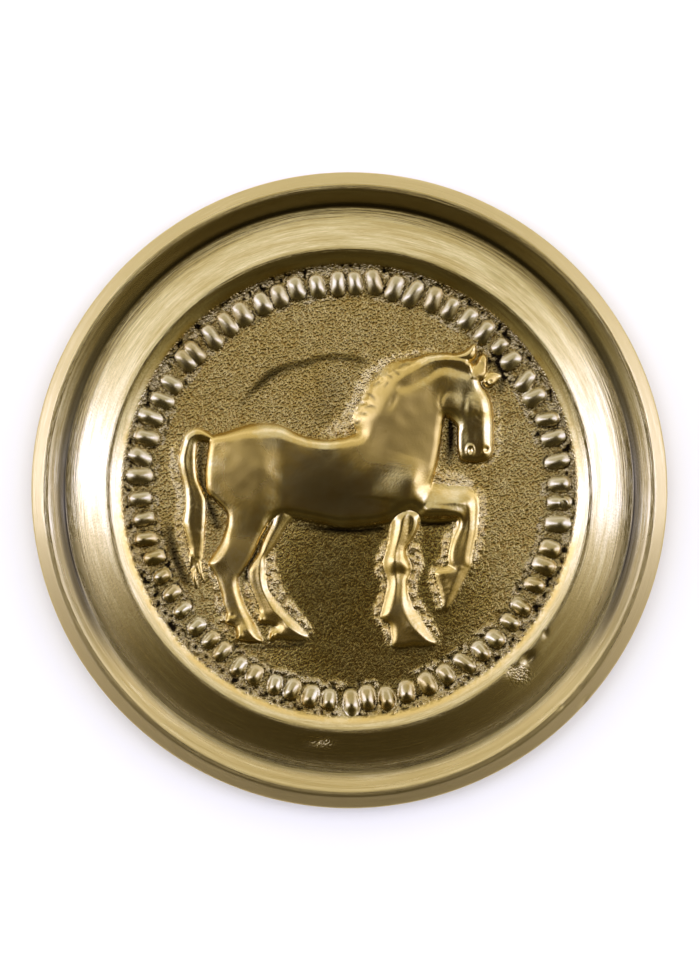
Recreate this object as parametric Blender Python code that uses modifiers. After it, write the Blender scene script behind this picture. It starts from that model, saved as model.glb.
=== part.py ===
"""A cast brass phalera: a round harness disc with a raised rim, a bead ring and a striding horse.

The disc lies on its back in the XY plane, its underside at z = 0, the horse's back towards +Y
and the horse's head towards +X. Everything is one casting, so everything joins into one solid.
"""

import math

import bmesh
import bpy
from mathutils import Matrix

MM = 0.001

# ---- the disc: (radius, height) round the edge, in millimetres ----
FIELD_Z = 2.6                 # the flat field that the horse stands on
BEAD_IN_R = 24.5              # where the field ends and the bead ring begins
BEAD_OUT_R = 28.2             # foot of the lip outside the beads
LIP_R = 30.2                  # top of the rounded lip
LIP_Z = 4.1
CHANNEL_IN_R = 35.0           # the shallow channel between lip and rim
CHANNEL_OUT_R = 36.1
CHANNEL_Z = 2.75
RIM_R = 38.4                  # outer edge of the raised rim's narrow crest
RIM_Z = 4.35
DISC_R = 40.0
BEVEL_Z = 3.65                # foot of the bevel outside the rim
FOOT_ROUND = 0.5
TURN_STEPS = 112

# ---- the bead ring ----
BEADS = 64
BEAD_RING_R = 26.35
BEAD_HALF_LONG = 1.65         # along the radius
BEAD_HALF_WIDE = 0.9          # round the ring
BEAD_RISE = 1.15
BEAD_DRIFT = (2.0, 1.0)       # the hand-set spacing runs this many degrees ahead, once and twice a turn

# ---- the horse: each roll of flesh is (x, y, half width) stations and a crest height ----
HORSE = {
    "trunk": (2.15, [(-17.9, 2.4, 1.0), (-16.9, 2.6, 2.7), (-14.6, 2.7, 4.6), (-11.5, 2.6, 5.6),
                     (-8.0, 2.1, 5.6), (-4.0, 1.2, 5.2), (0.5, 1.1, 5.7), (5.0, 0.6, 5.0),
                     (8.2, -0.2, 3.0), (9.6, -0.6, 1.2)]),
    "neck": (2.0, [(4.0, -1.0, 2.4), (4.8, 2.0, 4.6), (6.3, 5.6, 4.8), (8.3, 9.8, 3.7),
                   (10.9, 13.0, 2.8), (13.4, 14.3, 2.0), (14.8, 14.6, 1.0)]),
    "mane": (1.45, [(-1.8, 6.9, 0.4), (0.9, 8.9, 1.0), (2.9, 12.0, 1.5), (5.6, 14.6, 1.7),
                    (9.4, 16.0, 1.3), (13.0, 16.6, 0.8), (14.8, 16.5, 0.4)]),
    "head": (1.9, [(14.4, 15.2, 1.1), (14.4, 13.6, 2.3), (14.6, 11.2, 2.9), (15.2, 8.4, 2.35),
                   (15.6, 5.8, 2.1), (15.7, 4.5, 1.7), (15.7, 3.8, 0.8)]),
    "cheek": (2.0, [(12.2, 10.5, 0.9), (13.1, 11.0, 1.6), (14.1, 11.5, 0.9)]),
    "near_ear": (1.9, [(14.8, 15.2, 0.7), (15.0, 16.4, 0.8), (15.6, 18.2, 0.2)]),
    "far_ear": (1.5, [(16.3, 14.2, 0.8), (16.3, 15.6, 0.85), (16.7, 17.1, 0.25)]),
    "forelock": (1.2, [(16.4, 13.1, 0.6), (17.5, 13.7, 0.8), (18.6, 13.9, 0.3)]),
    "tail": (1.3, [(-16.0, 6.3, 0.6), (-18.4, 7.2, 0.8), (-20.2, 5.6, 1.2), (-20.3, 2.2, 1.25),
                   (-19.5, -1.6, 1.6), (-19.5, -5.4, 1.35), (-19.1, -8.6, 0.8), (-19.1, -12.2, 0.25)]),
    "near_thigh": (2.05, [(-13.0, 5.2, 2.2), (-13.2, 2.2, 4.2), (-13.1, -1.6, 3.7), (-13.3, -5.0, 2.2),
                          (-14.6, -8.1, 2.0), (-15.4, -9.9, 1.4), (-15.3, -11.2, 0.9)]),
    "near_hind": (1.4, [(-15.9, -7.7, 0.9), (-15.5, -9.2, 1.5), (-15.1, -11.6, 1.05), (-14.8, -13.6, 1.0),
                        (-14.1, -15.8, 1.15), (-13.2, -17.4, 1.5), (-12.7, -18.8, 1.5)]),
    "far_hind": (1.25, [(-8.2, -1.6, 1.4), (-8.8, -3.2, 2.0), (-10.0, -5.8, 1.5), (-11.5, -8.7, 1.2),
                        (-11.8, -11.2, 1.0), (-11.1, -13.9, 1.05), (-9.9, -16.0, 1.3), (-8.1, -17.8, 1.2),
                        (-6.2, -18.5, 0.5)]),
    "raised_fore": (1.75, [(5.6, -0.4, 1.6), (7.6, -0.9, 2.7), (11.0, -1.7, 1.9), (13.9, -1.5, 1.5),
                           (15.2, -1.9, 1.2), (15.3, -4.0, 1.05), (14.5, -6.6, 0.95), (13.8, -8.8, 1.0),
                           (13.4, -9.8, 0.7)]),
    "raised_hoof": (1.35, [(13.6, -8.6, 0.9), (12.9, -10.4, 2.0), (12.6, -12.8, 1.35), (12.1, -15.0, 0.3)]),
    "standing_fore": (1.6, [(6.8, 0.6, 1.2), (6.9, -2.2, 2.3), (6.7, -5.8, 2.2), (6.5, -9.2, 1.9),
                            (6.1, -12.2, 1.25), (6.0, -14.6, 1.45), (6.7, -16.6, 1.9), (7.9, -18.6, 1.7)]),
}
ROLL_STEPS = 4                # lengthwise cuts between two stations
ROLL_SIDES = 2                # bevel resolution of a roll: 8 sides
HORSE_RISE = 0.79             # how far each roll's crest height is kept down, so the rim guards the horse


def clear_scene():
    for obj in list(bpy.data.objects):
        bpy.data.objects.remove(obj, do_unlink=True)


def collection(name, hidden=False):
    made = bpy.data.collections.new(name)
    bpy.context.scene.collection.children.link(made)
    made.hide_render = hidden
    return made


def brass():
    mat = bpy.data.materials.new("cast_brass")
    mat.use_nodes = True
    shader = mat.node_tree.nodes["Principled BSDF"]
    shader.inputs["Base Color"].default_value = (0.60, 0.42, 0.16, 1.0)
    shader.inputs["Metallic"].default_value = 1.0
    shader.inputs["Roughness"].default_value = 0.32
    return mat


def disc_profile():
    """The half section, from the middle of the face, over the rim and back under to the axis."""
    lip_side = 0.75
    return [
        (0.0, FIELD_Z),
        (BEAD_IN_R * 0.5, FIELD_Z),
        (BEAD_IN_R, FIELD_Z),
        (BEAD_OUT_R, FIELD_Z + 0.15),
        (LIP_R - lip_side, LIP_Z - 0.25),
        (LIP_R, LIP_Z),
        (LIP_R + lip_side, LIP_Z - 0.15),
        (CHANNEL_IN_R, CHANNEL_Z),
        (CHANNEL_OUT_R, CHANNEL_Z),
        (RIM_R - 0.55, RIM_Z - 0.15),
        (RIM_R, RIM_Z),
        (DISC_R - 0.1, BEVEL_Z),
        (DISC_R, BEVEL_Z - 0.2),
        (DISC_R, FOOT_ROUND),
        (DISC_R - 0.15, 0.15),
        (DISC_R - FOOT_ROUND, 0.0),
        (0.0, 0.0),
    ]


def turned_disc(name, home):
    mesh = bpy.data.meshes.new(name)
    points = [(r * MM, 0.0, z * MM) for r, z in disc_profile()]
    mesh.from_pydata(points, [(i, i + 1) for i in range(len(points) - 1)], [])
    disc = bpy.data.objects.new(name, mesh)
    home.objects.link(disc)
    turn = disc.modifiers.new("turn", "SCREW")
    turn.axis = "Z"
    turn.angle = 2 * math.pi
    turn.steps = TURN_STEPS
    turn.render_steps = TURN_STEPS
    turn.use_merge_vertices = True
    turn.merge_threshold = 0.00005
    turn.use_normal_calculate = True
    turn.use_smooth_shade = True
    return disc


def bead_angle(index):
    even = 2 * math.pi * index / BEADS + math.radians(2.0)
    drift = BEAD_DRIFT[0] * math.sin(even) + BEAD_DRIFT[1] * math.sin(2 * even)
    return even + math.radians(drift)


def bead(index, home):
    mesh = bpy.data.meshes.new(f"bead_{index:02d}")
    bm = bmesh.new()
    bmesh.ops.create_uvsphere(bm, u_segments=8, v_segments=6, radius=1.0)
    size = Matrix.Diagonal((BEAD_HALF_LONG * MM, BEAD_HALF_WIDE * MM, BEAD_RISE * MM, 1.0))
    out = Matrix.Translation((BEAD_RING_R * MM, 0.0, FIELD_Z * MM))
    turn = Matrix.Rotation(bead_angle(index), 4, "Z")
    bmesh.ops.transform(bm, matrix=turn @ out @ size, verts=bm.verts)
    bm.to_mesh(mesh)
    bm.free()
    mesh.shade_smooth()
    home.objects.link(bpy.data.objects.new(mesh.name, mesh))


def roll(name, crest, stations, home):
    """One rounded roll of the horse: a tapered tube through its stations, flattened to its crest height."""
    curve = bpy.data.curves.new(name, "CURVE")
    curve.dimensions = "3D"
    curve.twist_mode = "Z_UP"
    curve.bevel_depth = 1.0
    curve.bevel_resolution = ROLL_SIDES
    curve.use_fill_caps = True
    curve.resolution_u = ROLL_STEPS
    spline = curve.splines.new("BEZIER")
    spline.radius_interpolation = "CARDINAL"
    spline.bezier_points.add(len(stations) - 1)
    for point, (x, y, half) in zip(spline.bezier_points, stations):
        point.co = (x * MM, y * MM, 0.0)
        point.radius = half * MM
        point.handle_left_type = "AUTO"
        point.handle_right_type = "AUTO"
    tube = bpy.data.objects.new(name + "_tube", curve)
    home.objects.link(tube)
    bpy.context.view_layer.update()
    graph = bpy.context.evaluated_depsgraph_get()
    mesh = bpy.data.meshes.new_from_object(tube.evaluated_get(graph))
    bpy.data.objects.remove(tube, do_unlink=True)
    flat = HORSE_RISE * crest / max(half for _, _, half in stations)
    bm = bmesh.new()
    bm.from_mesh(mesh)
    bmesh.ops.remove_doubles(bm, verts=bm.verts, dist=1e-6)
    bmesh.ops.scale(bm, vec=(1.0, 1.0, flat), verts=bm.verts)
    bmesh.ops.translate(bm, vec=(0.0, 0.0, FIELD_Z * MM), verts=bm.verts)
    bmesh.ops.recalc_face_normals(bm, faces=bm.faces)
    bm.to_mesh(mesh)
    bm.free()
    mesh.shade_smooth()
    home.objects.link(bpy.data.objects.new(name, mesh))


def main():
    clear_scene()
    body = collection("phalera")
    helpers = collection("relief", hidden=True)
    disc = turned_disc("phalera", body)
    disc.data.materials.append(brass())
    for index in range(BEADS):
        bead(index, helpers)
    for name, (crest, stations) in HORSE.items():
        roll(name, crest, stations, helpers)
    for obj in helpers.objects:
        obj.hide_render = True
        obj.display_type = "WIRE"
    join = disc.modifiers.new("cast_in_one", "BOOLEAN")
    join.operation = "UNION"
    join.solver = "EXACT"
    join.operand_type = "COLLECTION"
    join.collection = helpers


main()
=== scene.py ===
# %% [markdown]
# # A cast brass phalera with a striding horse
# A phalera is a round plate worn on a harness strap or across the chest. This one is a single
# sand casting in yellow brass: a thick disc with a raised rim, a shallow channel, a rounded lip, a
# ring of beads and a horse in low relief. The rim and the lip were turned and brushed after
# casting, the horse was rubbed bright, and the field between them still has its dark sand skin.
#
# Such a relief could be sculpted, or put together from many meshes. Here the whole face is one
# height map, worked out in code and laid on rings of points. That way every shape is real
# geometry, the piece stays one closed casting, and each number is a size that a founder could
# measure.

# %% Load the frame and keep its size
import math

import bpy
import numpy as np
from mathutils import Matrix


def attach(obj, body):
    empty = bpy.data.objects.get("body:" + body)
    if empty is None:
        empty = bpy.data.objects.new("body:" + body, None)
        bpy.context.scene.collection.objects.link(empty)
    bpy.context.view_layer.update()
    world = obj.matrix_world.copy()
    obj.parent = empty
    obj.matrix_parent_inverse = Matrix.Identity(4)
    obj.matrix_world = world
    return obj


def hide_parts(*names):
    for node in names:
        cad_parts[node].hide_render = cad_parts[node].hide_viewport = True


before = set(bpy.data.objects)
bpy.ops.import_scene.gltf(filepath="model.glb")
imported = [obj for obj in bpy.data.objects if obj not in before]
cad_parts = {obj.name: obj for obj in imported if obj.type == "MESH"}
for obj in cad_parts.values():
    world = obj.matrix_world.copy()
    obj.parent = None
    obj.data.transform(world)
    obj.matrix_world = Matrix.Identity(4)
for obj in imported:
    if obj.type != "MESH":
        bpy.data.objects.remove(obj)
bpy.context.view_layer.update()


# %% [markdown]
# ## Working units and soft edges
# The relief is worked out in millimetres above the flat back, as a founder would measure it with
# a depth gauge, and only turned into metres when the mesh is made. Nothing on a casting starts or
# ends abruptly, so almost every shape below fades in and out with a soft step, and two shapes
# that meet get a small fillet.

# %% Soft steps and soft joins
MM = 0.001
DEEP = -3.0                     # "nothing here", in mm under the field


def soft_step(low, high, value):
    """0 up to low, 1 from high on, and a smooth rise between. With high below low it falls."""
    t = np.clip((value - low) / (high - low), 0.0, 1.0)
    return t * t * (3.0 - 2.0 * t)


def between_steps(start, full, stay, end, value):
    """Rises from start to full, and falls again from stay to end."""
    return soft_step(start, full, value) * soft_step(end, stay, value)


def join(a, b, blend):
    """The higher of two heights, with a fillet of about that many mm where they meet."""
    closeness = np.maximum(blend - np.abs(a - b), 0.0) / blend
    return np.maximum(a, b) + closeness * closeness * blend / 4.0


print("a soft join of two equal heights adds", join(1.0, 1.0, 0.4) - 1.0, "mm")


# %% [markdown]
# ## Hand-made unevenness
# Sand, a file and a hand leave lumps of every size. A random value is fixed to each corner of a
# square net and blended smoothly between the corners. Finer nets of half the strength are added
# on top. The random value comes from the corner's own numbers, so each run gives the same casting.

# %% Random height on a net
MIX_X, MIX_Y, MIX_SEED, STIR = 374761393, 668265263, 974634777, 1274126177
ALL_BITS, LOW_BITS = 0xFFFFFFFF, 0xFFFF


def corner_value(i, j, seed):
    """A fixed random value from -1 to 1 for each corner of the net."""
    n = (i * MIX_X + j * MIX_Y + seed * MIX_SEED) & ALL_BITS
    n = ((n ^ (n >> 13)) * STIR) & ALL_BITS
    return ((n ^ (n >> 16)) & LOW_BITS) / (LOW_BITS / 2) - 1.0


def unevenness(x, y, lump, seed, octaves=2):
    """Smooth random height from -1 to 1 whose lumps are about that many mm across."""
    total, share, size = 0.0, 1.0, 0.0
    for octave in range(octaves):
        u, v = x / lump, y / lump
        i, j = np.floor(u).astype(np.int64), np.floor(v).astype(np.int64)
        fu, fv = soft_step(0, 1, u - i), soft_step(0, 1, v - j)
        own = seed + 17 * octave
        low = corner_value(i, j, own) * (1 - fu) + corner_value(i + 1, j, own) * fu
        high = corner_value(i, j + 1, own) * (1 - fu) + corner_value(i + 1, j + 1, own) * fu
        total = total + share * (low * (1 - fv) + high * fv)
        size, share, lump = size + share, share * 0.5, lump / 2.03
    return total / size


sample = unevenness(np.linspace(0, 20, 400), np.zeros(400), 0.8, 1)
print("lumps of 0.8 mm run from", round(float(sample.min()), 2),
      "to", round(float(sample.max()), 2))


# %% [markdown]
# ## The turned section
# On the lathe the disc is one section swept round: field, lip, channel, rim and bevel. The lip is
# round on top, the channel is a cove, and the rim ends in a crisp edge where two cuts meet. The
# section is drawn as a few (radius, height) corners and rounded by averaging along the radius,
# which is quicker to adjust than a curve with handles.

# %% The section round the disc
DISC_R = 40.0
RELIEF_R = 29.0                 # inside this the points are close enough to carry the relief
FIELD = [(0.0, 2.6), (24.6, 2.6), (27.9, 2.76)]
LIP = [(28.3, 2.98), (29.0, 3.48), (29.8, 3.98), (30.0, 4.07), (30.2, 4.1), (30.5, 4.1),
       (30.7, 4.06)]
CHANNEL = [(30.9, 3.96), (33.4, 3.05), (34.3, 2.82), (35.0, 2.76), (35.8, 2.75), (36.12, 2.96)]
RIM = [(36.6, 3.35), (37.2, 3.84), (37.5, 4.15), (37.65, 4.27), (37.8, 4.34), (38.38, 4.35)]
BEVEL = [(38.5, 4.31), (39.9, 3.66), (40.0, 3.56)]
SECTION = FIELD + LIP + CHANNEL + RIM + BEVEL
TAP = 0.05                      # mm between the seven points that are averaged


def section(r):
    """Height of the turned disc at a radius, with its corners rounded."""
    radius, height = np.array(SECTION).T
    total, weight = 0.0, 0.0
    for tap in range(-3, 4):
        share = math.exp(-(tap / 2.0) ** 2)
        total = total + share * np.interp(r + tap * TAP, radius, height)
        weight += share
    return total / weight


print("lip", float(section(np.array(30.3))), "mm, rim", float(section(np.array(38.3))), "mm")


# %% [markdown]
# ## Drawing the relief
# A die cutter builds a relief from a few kinds of cut: raised areas with a rounded edge, ridges and
# grooves pulled along a line, banks that are steep on one side, and soft swellings. Each kind is
# one function here. All of them start from a few listed rows, and a smooth curve through the
# rows carries every further column, such as a width or a height, along with it.

# %% A smooth line through rows
SPACING = 0.25                  # mm between the stations an outline is sampled at
LINE_SPACING = 0.4              # the same for ridges and banks
REACH = 2.5                     # a ridge has faded out at this many half widths


def curve(rows, closed=False, spacing=SPACING):
    """A smooth line through the given rows; further columns, such as widths, follow along."""
    rows = np.array(rows, float)
    if closed:
        padded = np.vstack([rows[-1], rows, rows[0], rows[1]])
    else:
        padded = np.vstack([2 * rows[0] - rows[1], rows, 2 * rows[-1] - rows[-2]])
    made = []
    for a, b, c, d in zip(padded, padded[1:], padded[2:], padded[3:]):
        steps = max(1, int(round(np.hypot(*(c - b)[:2]) / spacing)))
        slope, bend, twist = c - a, 2 * a - 5 * b + 4 * c - d, 3 * b - a - 3 * c + d
        for t in np.arange(steps) / steps:
            made.append(0.5 * (2 * b + slope * t + bend * t * t + twist * t ** 3))
    if not closed:
        made.append(rows[-1])
    return np.array(made)


def near(x, y, line, reach):
    """Which points lie in the box round a line, grown by reach."""
    low, high = line[:, :2].min(axis=0) - reach, line[:, :2].max(axis=0) + reach
    return (x > low[0]) & (x < high[0]) & (y > low[1]) & (y < high[1])


print("a 3 mm line is sampled at", len(curve([(0, 0), (3, 0)])), "stations")


# %% [markdown]
# ## Raised areas
# A raised area is drawn by its outline. Every row says how wide the rounded edge is there and how
# high the relief stands behind it. The edge starts at 45 degrees, as a cutter leaves it, with a
# steep wall under it where it has to climb further. The plain distance to an outline has a sharp
# fold along the middle of a leg, where the two sides meet. A pull that adds up over the whole
# outline has none, so it is used deep inside, and the plain distance is kept close to the edge.

# %% A raised area from its outline
SOFT = 0.15                     # how far the sampled stations are blurred together, in mm
PULL_OF_A_LINE = 1.178          # the summed pull of a straight edge at 1 mm
SUNK = 0.22                     # how much lower the casting stands than the heights drawn, in mm
WALL = 0.2                      # half width of the steep wall under the edge, in mm


def inside_and_depth(px, py, line):
    """For each point: is it inside, how deep in, and the outline's edge width and height there."""
    total, edge, height = np.zeros(px.shape), np.zeros(px.shape), np.zeros(px.shape)
    closest, inside = np.full(px.shape, 1e9), np.zeros(px.shape, bool)
    for (ax, ay, width, rise), (bx, by) in zip(line, np.roll(line, -1, axis=0)[:, :2]):
        ex, ey = bx - ax, by - ay
        length = math.hypot(ex, ey)
        dx, dy = px - ax, py - ay
        t = np.clip((dx * ex + dy * ey) / (length * length), 0.0, 1.0)
        closest = np.minimum(closest, (dx - t * ex) ** 2 + (dy - t * ey) ** 2)
        pull = length / ((dx - ex / 2) ** 2 + (dy - ey / 2) ** 2 + SOFT * SOFT) ** 3
        total += pull
        edge += pull * width
        height += pull * rise
        if ey != 0:
            inside ^= ((ay > py) != (by > py)) & (dx < dy * ex / ey)
    sharp = np.sqrt(closest)
    smooth = np.sqrt(np.maximum((PULL_OF_A_LINE / total) ** 0.4 - SOFT * SOFT, 0.0))
    depth = sharp + (smooth - sharp) * soft_step(0.1, 0.6, sharp)
    return inside, depth, edge / total, height / total - SUNK


def raised(x, y, outline, dome=0.1, over=2.0):
    """Height of a raised area. Behind its rounded edge the dome rises on over that many mm."""
    line = curve(outline, closed=True)
    out = np.full(x.shape, DEEP)
    box = near(x, y, line, 2.0)
    if not box.any():
        return out
    inside, depth, edge, height = inside_and_depth(x[box], y[box], line)
    part, wide = np.clip(depth / edge, 0.0, 1.0), np.clip(depth / over, 0.0, 1.0)
    shoulder = np.minimum(height, 0.5 * edge)
    up = shoulder * (1.0 - (1.0 - part) ** 2) + dome * (1.0 - (1.0 - wide) ** 3)
    up = up + (height - shoulder) * soft_step(-WALL / 2, WALL, depth)
    down = (height - shoulder) * soft_step(WALL / 2, -WALL, depth) - depth
    out[box] = np.where(inside, up, down)
    return out


SQUARE = [(-2, -2, 1, 1), (2, -2, 1, 1), (2, 2, 1, 1), (-2, 2, 1, 1)]
middle = raised(np.zeros(1), np.zeros(1), SQUARE)
print("a raised square stands", round(float(middle[0]), 2), "mm high in its middle")


# %% [markdown]
# ## Ridges, banks and swellings
# A ridge is a soft roll along a line, and with a negative height it is a groove. A bank has its
# full height along the line, fades out slowly on the left and drops on the right. A swelling is a
# soft bump, and the horse's muscles are made of those.

# %% Ridges, banks and swellings
def beside(x, y, line):
    """Distance to a line, the side (1 left, -1 right) and the line's further columns there."""
    best, side = np.full(x.shape, 1e9), np.zeros(x.shape)
    cols = np.zeros(x.shape + (line.shape[1] - 2,))
    for a, b in zip(line, line[1:]):
        ex, ey = b[0] - a[0], b[1] - a[1]
        along = (x - a[0]) * ex + (y - a[1]) * ey
        t = np.clip(along / (ex * ex + ey * ey + 1e-12), 0.0, 1.0)
        dx, dy = x - a[0] - t * ex, y - a[1] - t * ey
        d = dx * dx + dy * dy
        closer = d < best
        best = np.where(closer, d, best)
        side = np.where(closer, np.sign(ex * dy - ey * dx), side)
        cols = np.where(closer[:, None], a[2:] + t[:, None] * (b[2:] - a[2:]), cols)
    return np.sqrt(best), side, cols


def fade(distance, width):
    """1 on the line, falling softly to nothing over about two widths."""
    return np.exp(-(distance / width) ** 2)


def ridge(x, y, rows):
    """A ridge, or a groove where the height is negative: rows of x, y, half width, height."""
    line = curve(rows, spacing=LINE_SPACING)
    out = np.zeros(x.shape)
    box = near(x, y, line, REACH * line[:, 2].max())
    if box.any():
        d, _, cols = beside(x[box], y[box], line)
        out[box] = cols[:, 1] * fade(d, np.maximum(cols[:, 0], 0.05))
    return out


def bank(x, y, rows, lip):
    """Rows of x, y, width on the left, height. On its right it falls off within lip mm."""
    line = curve(rows, spacing=LINE_SPACING)
    out = np.zeros(x.shape)
    box = near(x, y, line, REACH * line[:, 2].max())
    if box.any():
        d, side, cols = beside(x[box], y[box], line)
        width = np.where(side > 0, np.maximum(cols[:, 0], 0.05), lip)
        out[box] = cols[:, 1] * fade(d, width)
    return out


def swelling(x, y, cx, cy, wide, tall, height, turn=0.0):
    """A soft bump, or a hollow where the height is negative, turned by that many degrees."""
    a = math.radians(turn)
    u = ((x - cx) * math.cos(a) + (y - cy) * math.sin(a)) / wide
    v = ((y - cy) * math.cos(a) - (x - cx) * math.sin(a)) / tall
    return height * np.exp(-(u * u + v * v))


def swellings(x, y, rows):
    """The sum of several: rows of x, y, half width, half height, rise and, if any, turn."""
    return sum(swelling(x, y, *row) for row in rows)


def strongest(x, y, lines):
    """The highest of several ridges at each point."""
    out = np.zeros(x.shape)
    for line in lines:
        out = np.maximum(out, ridge(x, y, line))
    return out


def circle(cx, cy, wide, tall, width, height):
    """Rows for a ridge that runs round in a ring."""
    return [(cx + wide * math.cos(a), cy + tall * math.sin(a), width, height)
            for a in np.linspace(0, 2 * math.pi, 12)]


print("a ridge 0.3 mm high fades to", round(0.3 * float(fade(2.0, 1.0)), 3), "mm two widths out")


# %% [markdown]
# ## The horse
# The horse is a heavy draught type, striding to the right with one foreleg raised. In the mould it
# was one shallow pattern, flat on its sides and rounded at its edges, with the legs on the far
# side a little lower. It is drawn here as a few outlines that are joined with fillets: the body
# with the near hind leg, the tail, the far hind leg, the standing foreleg, the raised foreleg and
# its hoof, and the ears with the forelock. Every outline closes on itself. Its rows are x, y, the
# width of the rounded edge and the height behind it, all in mm from the middle of the disc.

# %% Outline of the body
BACK = [
    (-17.7, 6.1, 0.9, 1.1), (-17.2, 6.9, 1.1, 1.1), (-16, 7.2, 1.3, 1.2), (-15, 7.5, 1.4, 1.2),
    (-13.5, 8, 1.7, 1.3), (-12, 8.35, 1.9, 1.3), (-10.5, 8.5, 2, 1.3), (-9, 8.35, 1.9, 1.3),
    (-8, 8, 1.7, 1.25), (-7, 7.4, 1.5, 1.2), (-6, 6.95, 1.3, 1.15), (-5, 6.65, 1.3, 1.1),
    (-3, 6.4, 1.3, 1.1), (-1, 6.6, 1.3, 1.1), (0, 6.85, 1.4, 1.15)]
CREST = [
    (0.9, 7.3, 2.2, 1.25), (0.3, 8.5, 3, 1.4), (0.4, 9.6, 3.3, 1.5), (1, 10.7, 3.4, 1.5),
    (1.5, 11.7, 3.4, 1.5), (2.2, 12.9, 3.3, 1.5), (3, 13.9, 3.2, 1.5), (3.8, 14.9, 3.1, 1.5),
    (5, 15.9, 2.8, 1.5), (6.5, 16.4, 2.2, 1.45), (7.8, 16.6, 1.7, 1.4), (9, 16.9, 1.3, 1.35),
    (10, 17.2, 1.2, 1.35), (12, 17.35, 1.1, 1.35), (13.5, 17.2, 1, 1.35)]
FACE_LINE = [
    (14.6, 17, 0.9, 1.35), (15.4, 16.3, 0.8, 1.3), (15.9, 15, 0.9, 1.25), (16.4, 14.2, 1.1, 1.2),
    (17, 13.1, 1.4, 1.15), (17.6, 12, 1.3, 1.15), (18.05, 10.6, 1.4, 1.15), (18.25, 8.5, 1.5, 1.15),
    (18.25, 6, 1.5, 1.15), (18.1, 4.6, 1.2, 1.1), (17.5, 3.8, 1, 1.05), (16, 3.45, 0.9, 1.05),
    (14.6, 3.6, 0.7, 1.05), (13.9, 4, 0.6, 1.05)]
THROAT = [
    (13.6, 5, 0.55, 1.05), (13.55, 6, 0.55, 1.05), (13.55, 7.2, 0.6, 1.05), (13.5, 8, 1.2, 1.15),
    (13, 8.6, 1.8, 1.25), (12.4, 9.1, 1.8, 1.3), (12.1, 9.3, 1.4, 1.25), (11.95, 8.9, 1.1, 1.2),
    (11.8, 8, 1.1, 1.15), (11.6, 6.5, 1, 1.1), (11.4, 5, 1, 1.1), (11.1, 3.5, 1, 1.1),
    (10.8, 2, 1, 1.1)]
BELLY = [
    (10.5, 0.6, 1.2, 1.1), (10.2, -0.8, 1.6, 1.1), (9.6, -2.2, 1.8, 1.15), (8.4, -2.9, 2.4, 1.15),
    (7, -3.4, 2, 1.15), (5.5, -3.9, 1.8, 1.1), (4, -4.25, 1.5, 1.1), (2, -4.5, 1.5, 1.1),
    (0, -4.65, 1.5, 1.1), (-1.5, -4.6, 1.5, 1.1), (-3, -4.3, 1.5, 1.1), (-5, -3.9, 1.5, 1.1),
    (-7.2, -3.5, 1.5, 1.1), (-8.8, -3.4, 1.4, 1.2)]
HIND_LEG = [
    (-9.8, -3.7, 1, 1.2), (-10.4, -4.6, 0.8, 1.2), (-11.1, -5.8, 0.7, 1.15), (-11.6, -7, 0.7, 1.15),
    (-12.3, -8.4, 0.7, 1.1), (-13, -9.6, 0.7, 1.05), (-13.6, -10.5, 0.7, 1),
    (-13.95, -11.1, 0.8, 0.95), (-13.9, -12, 0.9, 0.9), (-13.6, -13.3, 0.9, 0.9),
    (-13, -14.8, 1, 0.9), (-12.3, -16.1, 1.1, 0.95), (-11.6, -17.3, 1.5, 1), (-11.1, -18.3, 1.5, 1),
    (-10.9, -19.1, 0.8, 0.95), (-12.2, -19.2, 0.6, 0.9), (-13.4, -19, 0.6, 0.9),
    (-14.2, -18.8, 0.6, 0.9), (-14.3, -17.6, 0.6, 0.9), (-14.9, -17, 0.5, 0.9),
    (-15.7, -16.7, 0.5, 0.9), (-15.5, -15.6, 0.5, 0.9), (-15.9, -14.4, 0.6, 0.9),
    (-16.1, -13.2, 0.6, 0.9), (-16.5, -12, 0.7, 0.9), (-16.9, -10.9, 0.8, 0.95),
    (-17.4, -10, 0.9, 1.05), (-17.85, -9.2, 1.1, 1.15), (-17.4, -8.4, 1.3, 1.2),
    (-16.8, -7.5, 1.4, 1.2), (-16.2, -6.5, 1.2, 1.2), (-15.8, -5.5, 0.9, 1.2),
    (-15.5, -4.5, 0.8, 1.15), (-15.4, -3.3, 0.8, 1.15), (-15.7, -2.5, 0.8, 1.1),
    (-16.4, -1.8, 0.8, 1.1), (-17.1, -1.1, 0.8, 1.1), (-17.7, -0.6, 0.8, 1.1),
    (-18.1, 0.3, 0.8, 1.1), (-18.2, 1.6, 0.8, 1.1), (-18.15, 3, 0.8, 1.1), (-17.95, 4.6, 0.8, 1.1)]
BODY = BACK + CREST + FACE_LINE + THROAT + BELLY + HIND_LEG
print("the body is drawn with", len(BODY), "rows")


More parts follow.
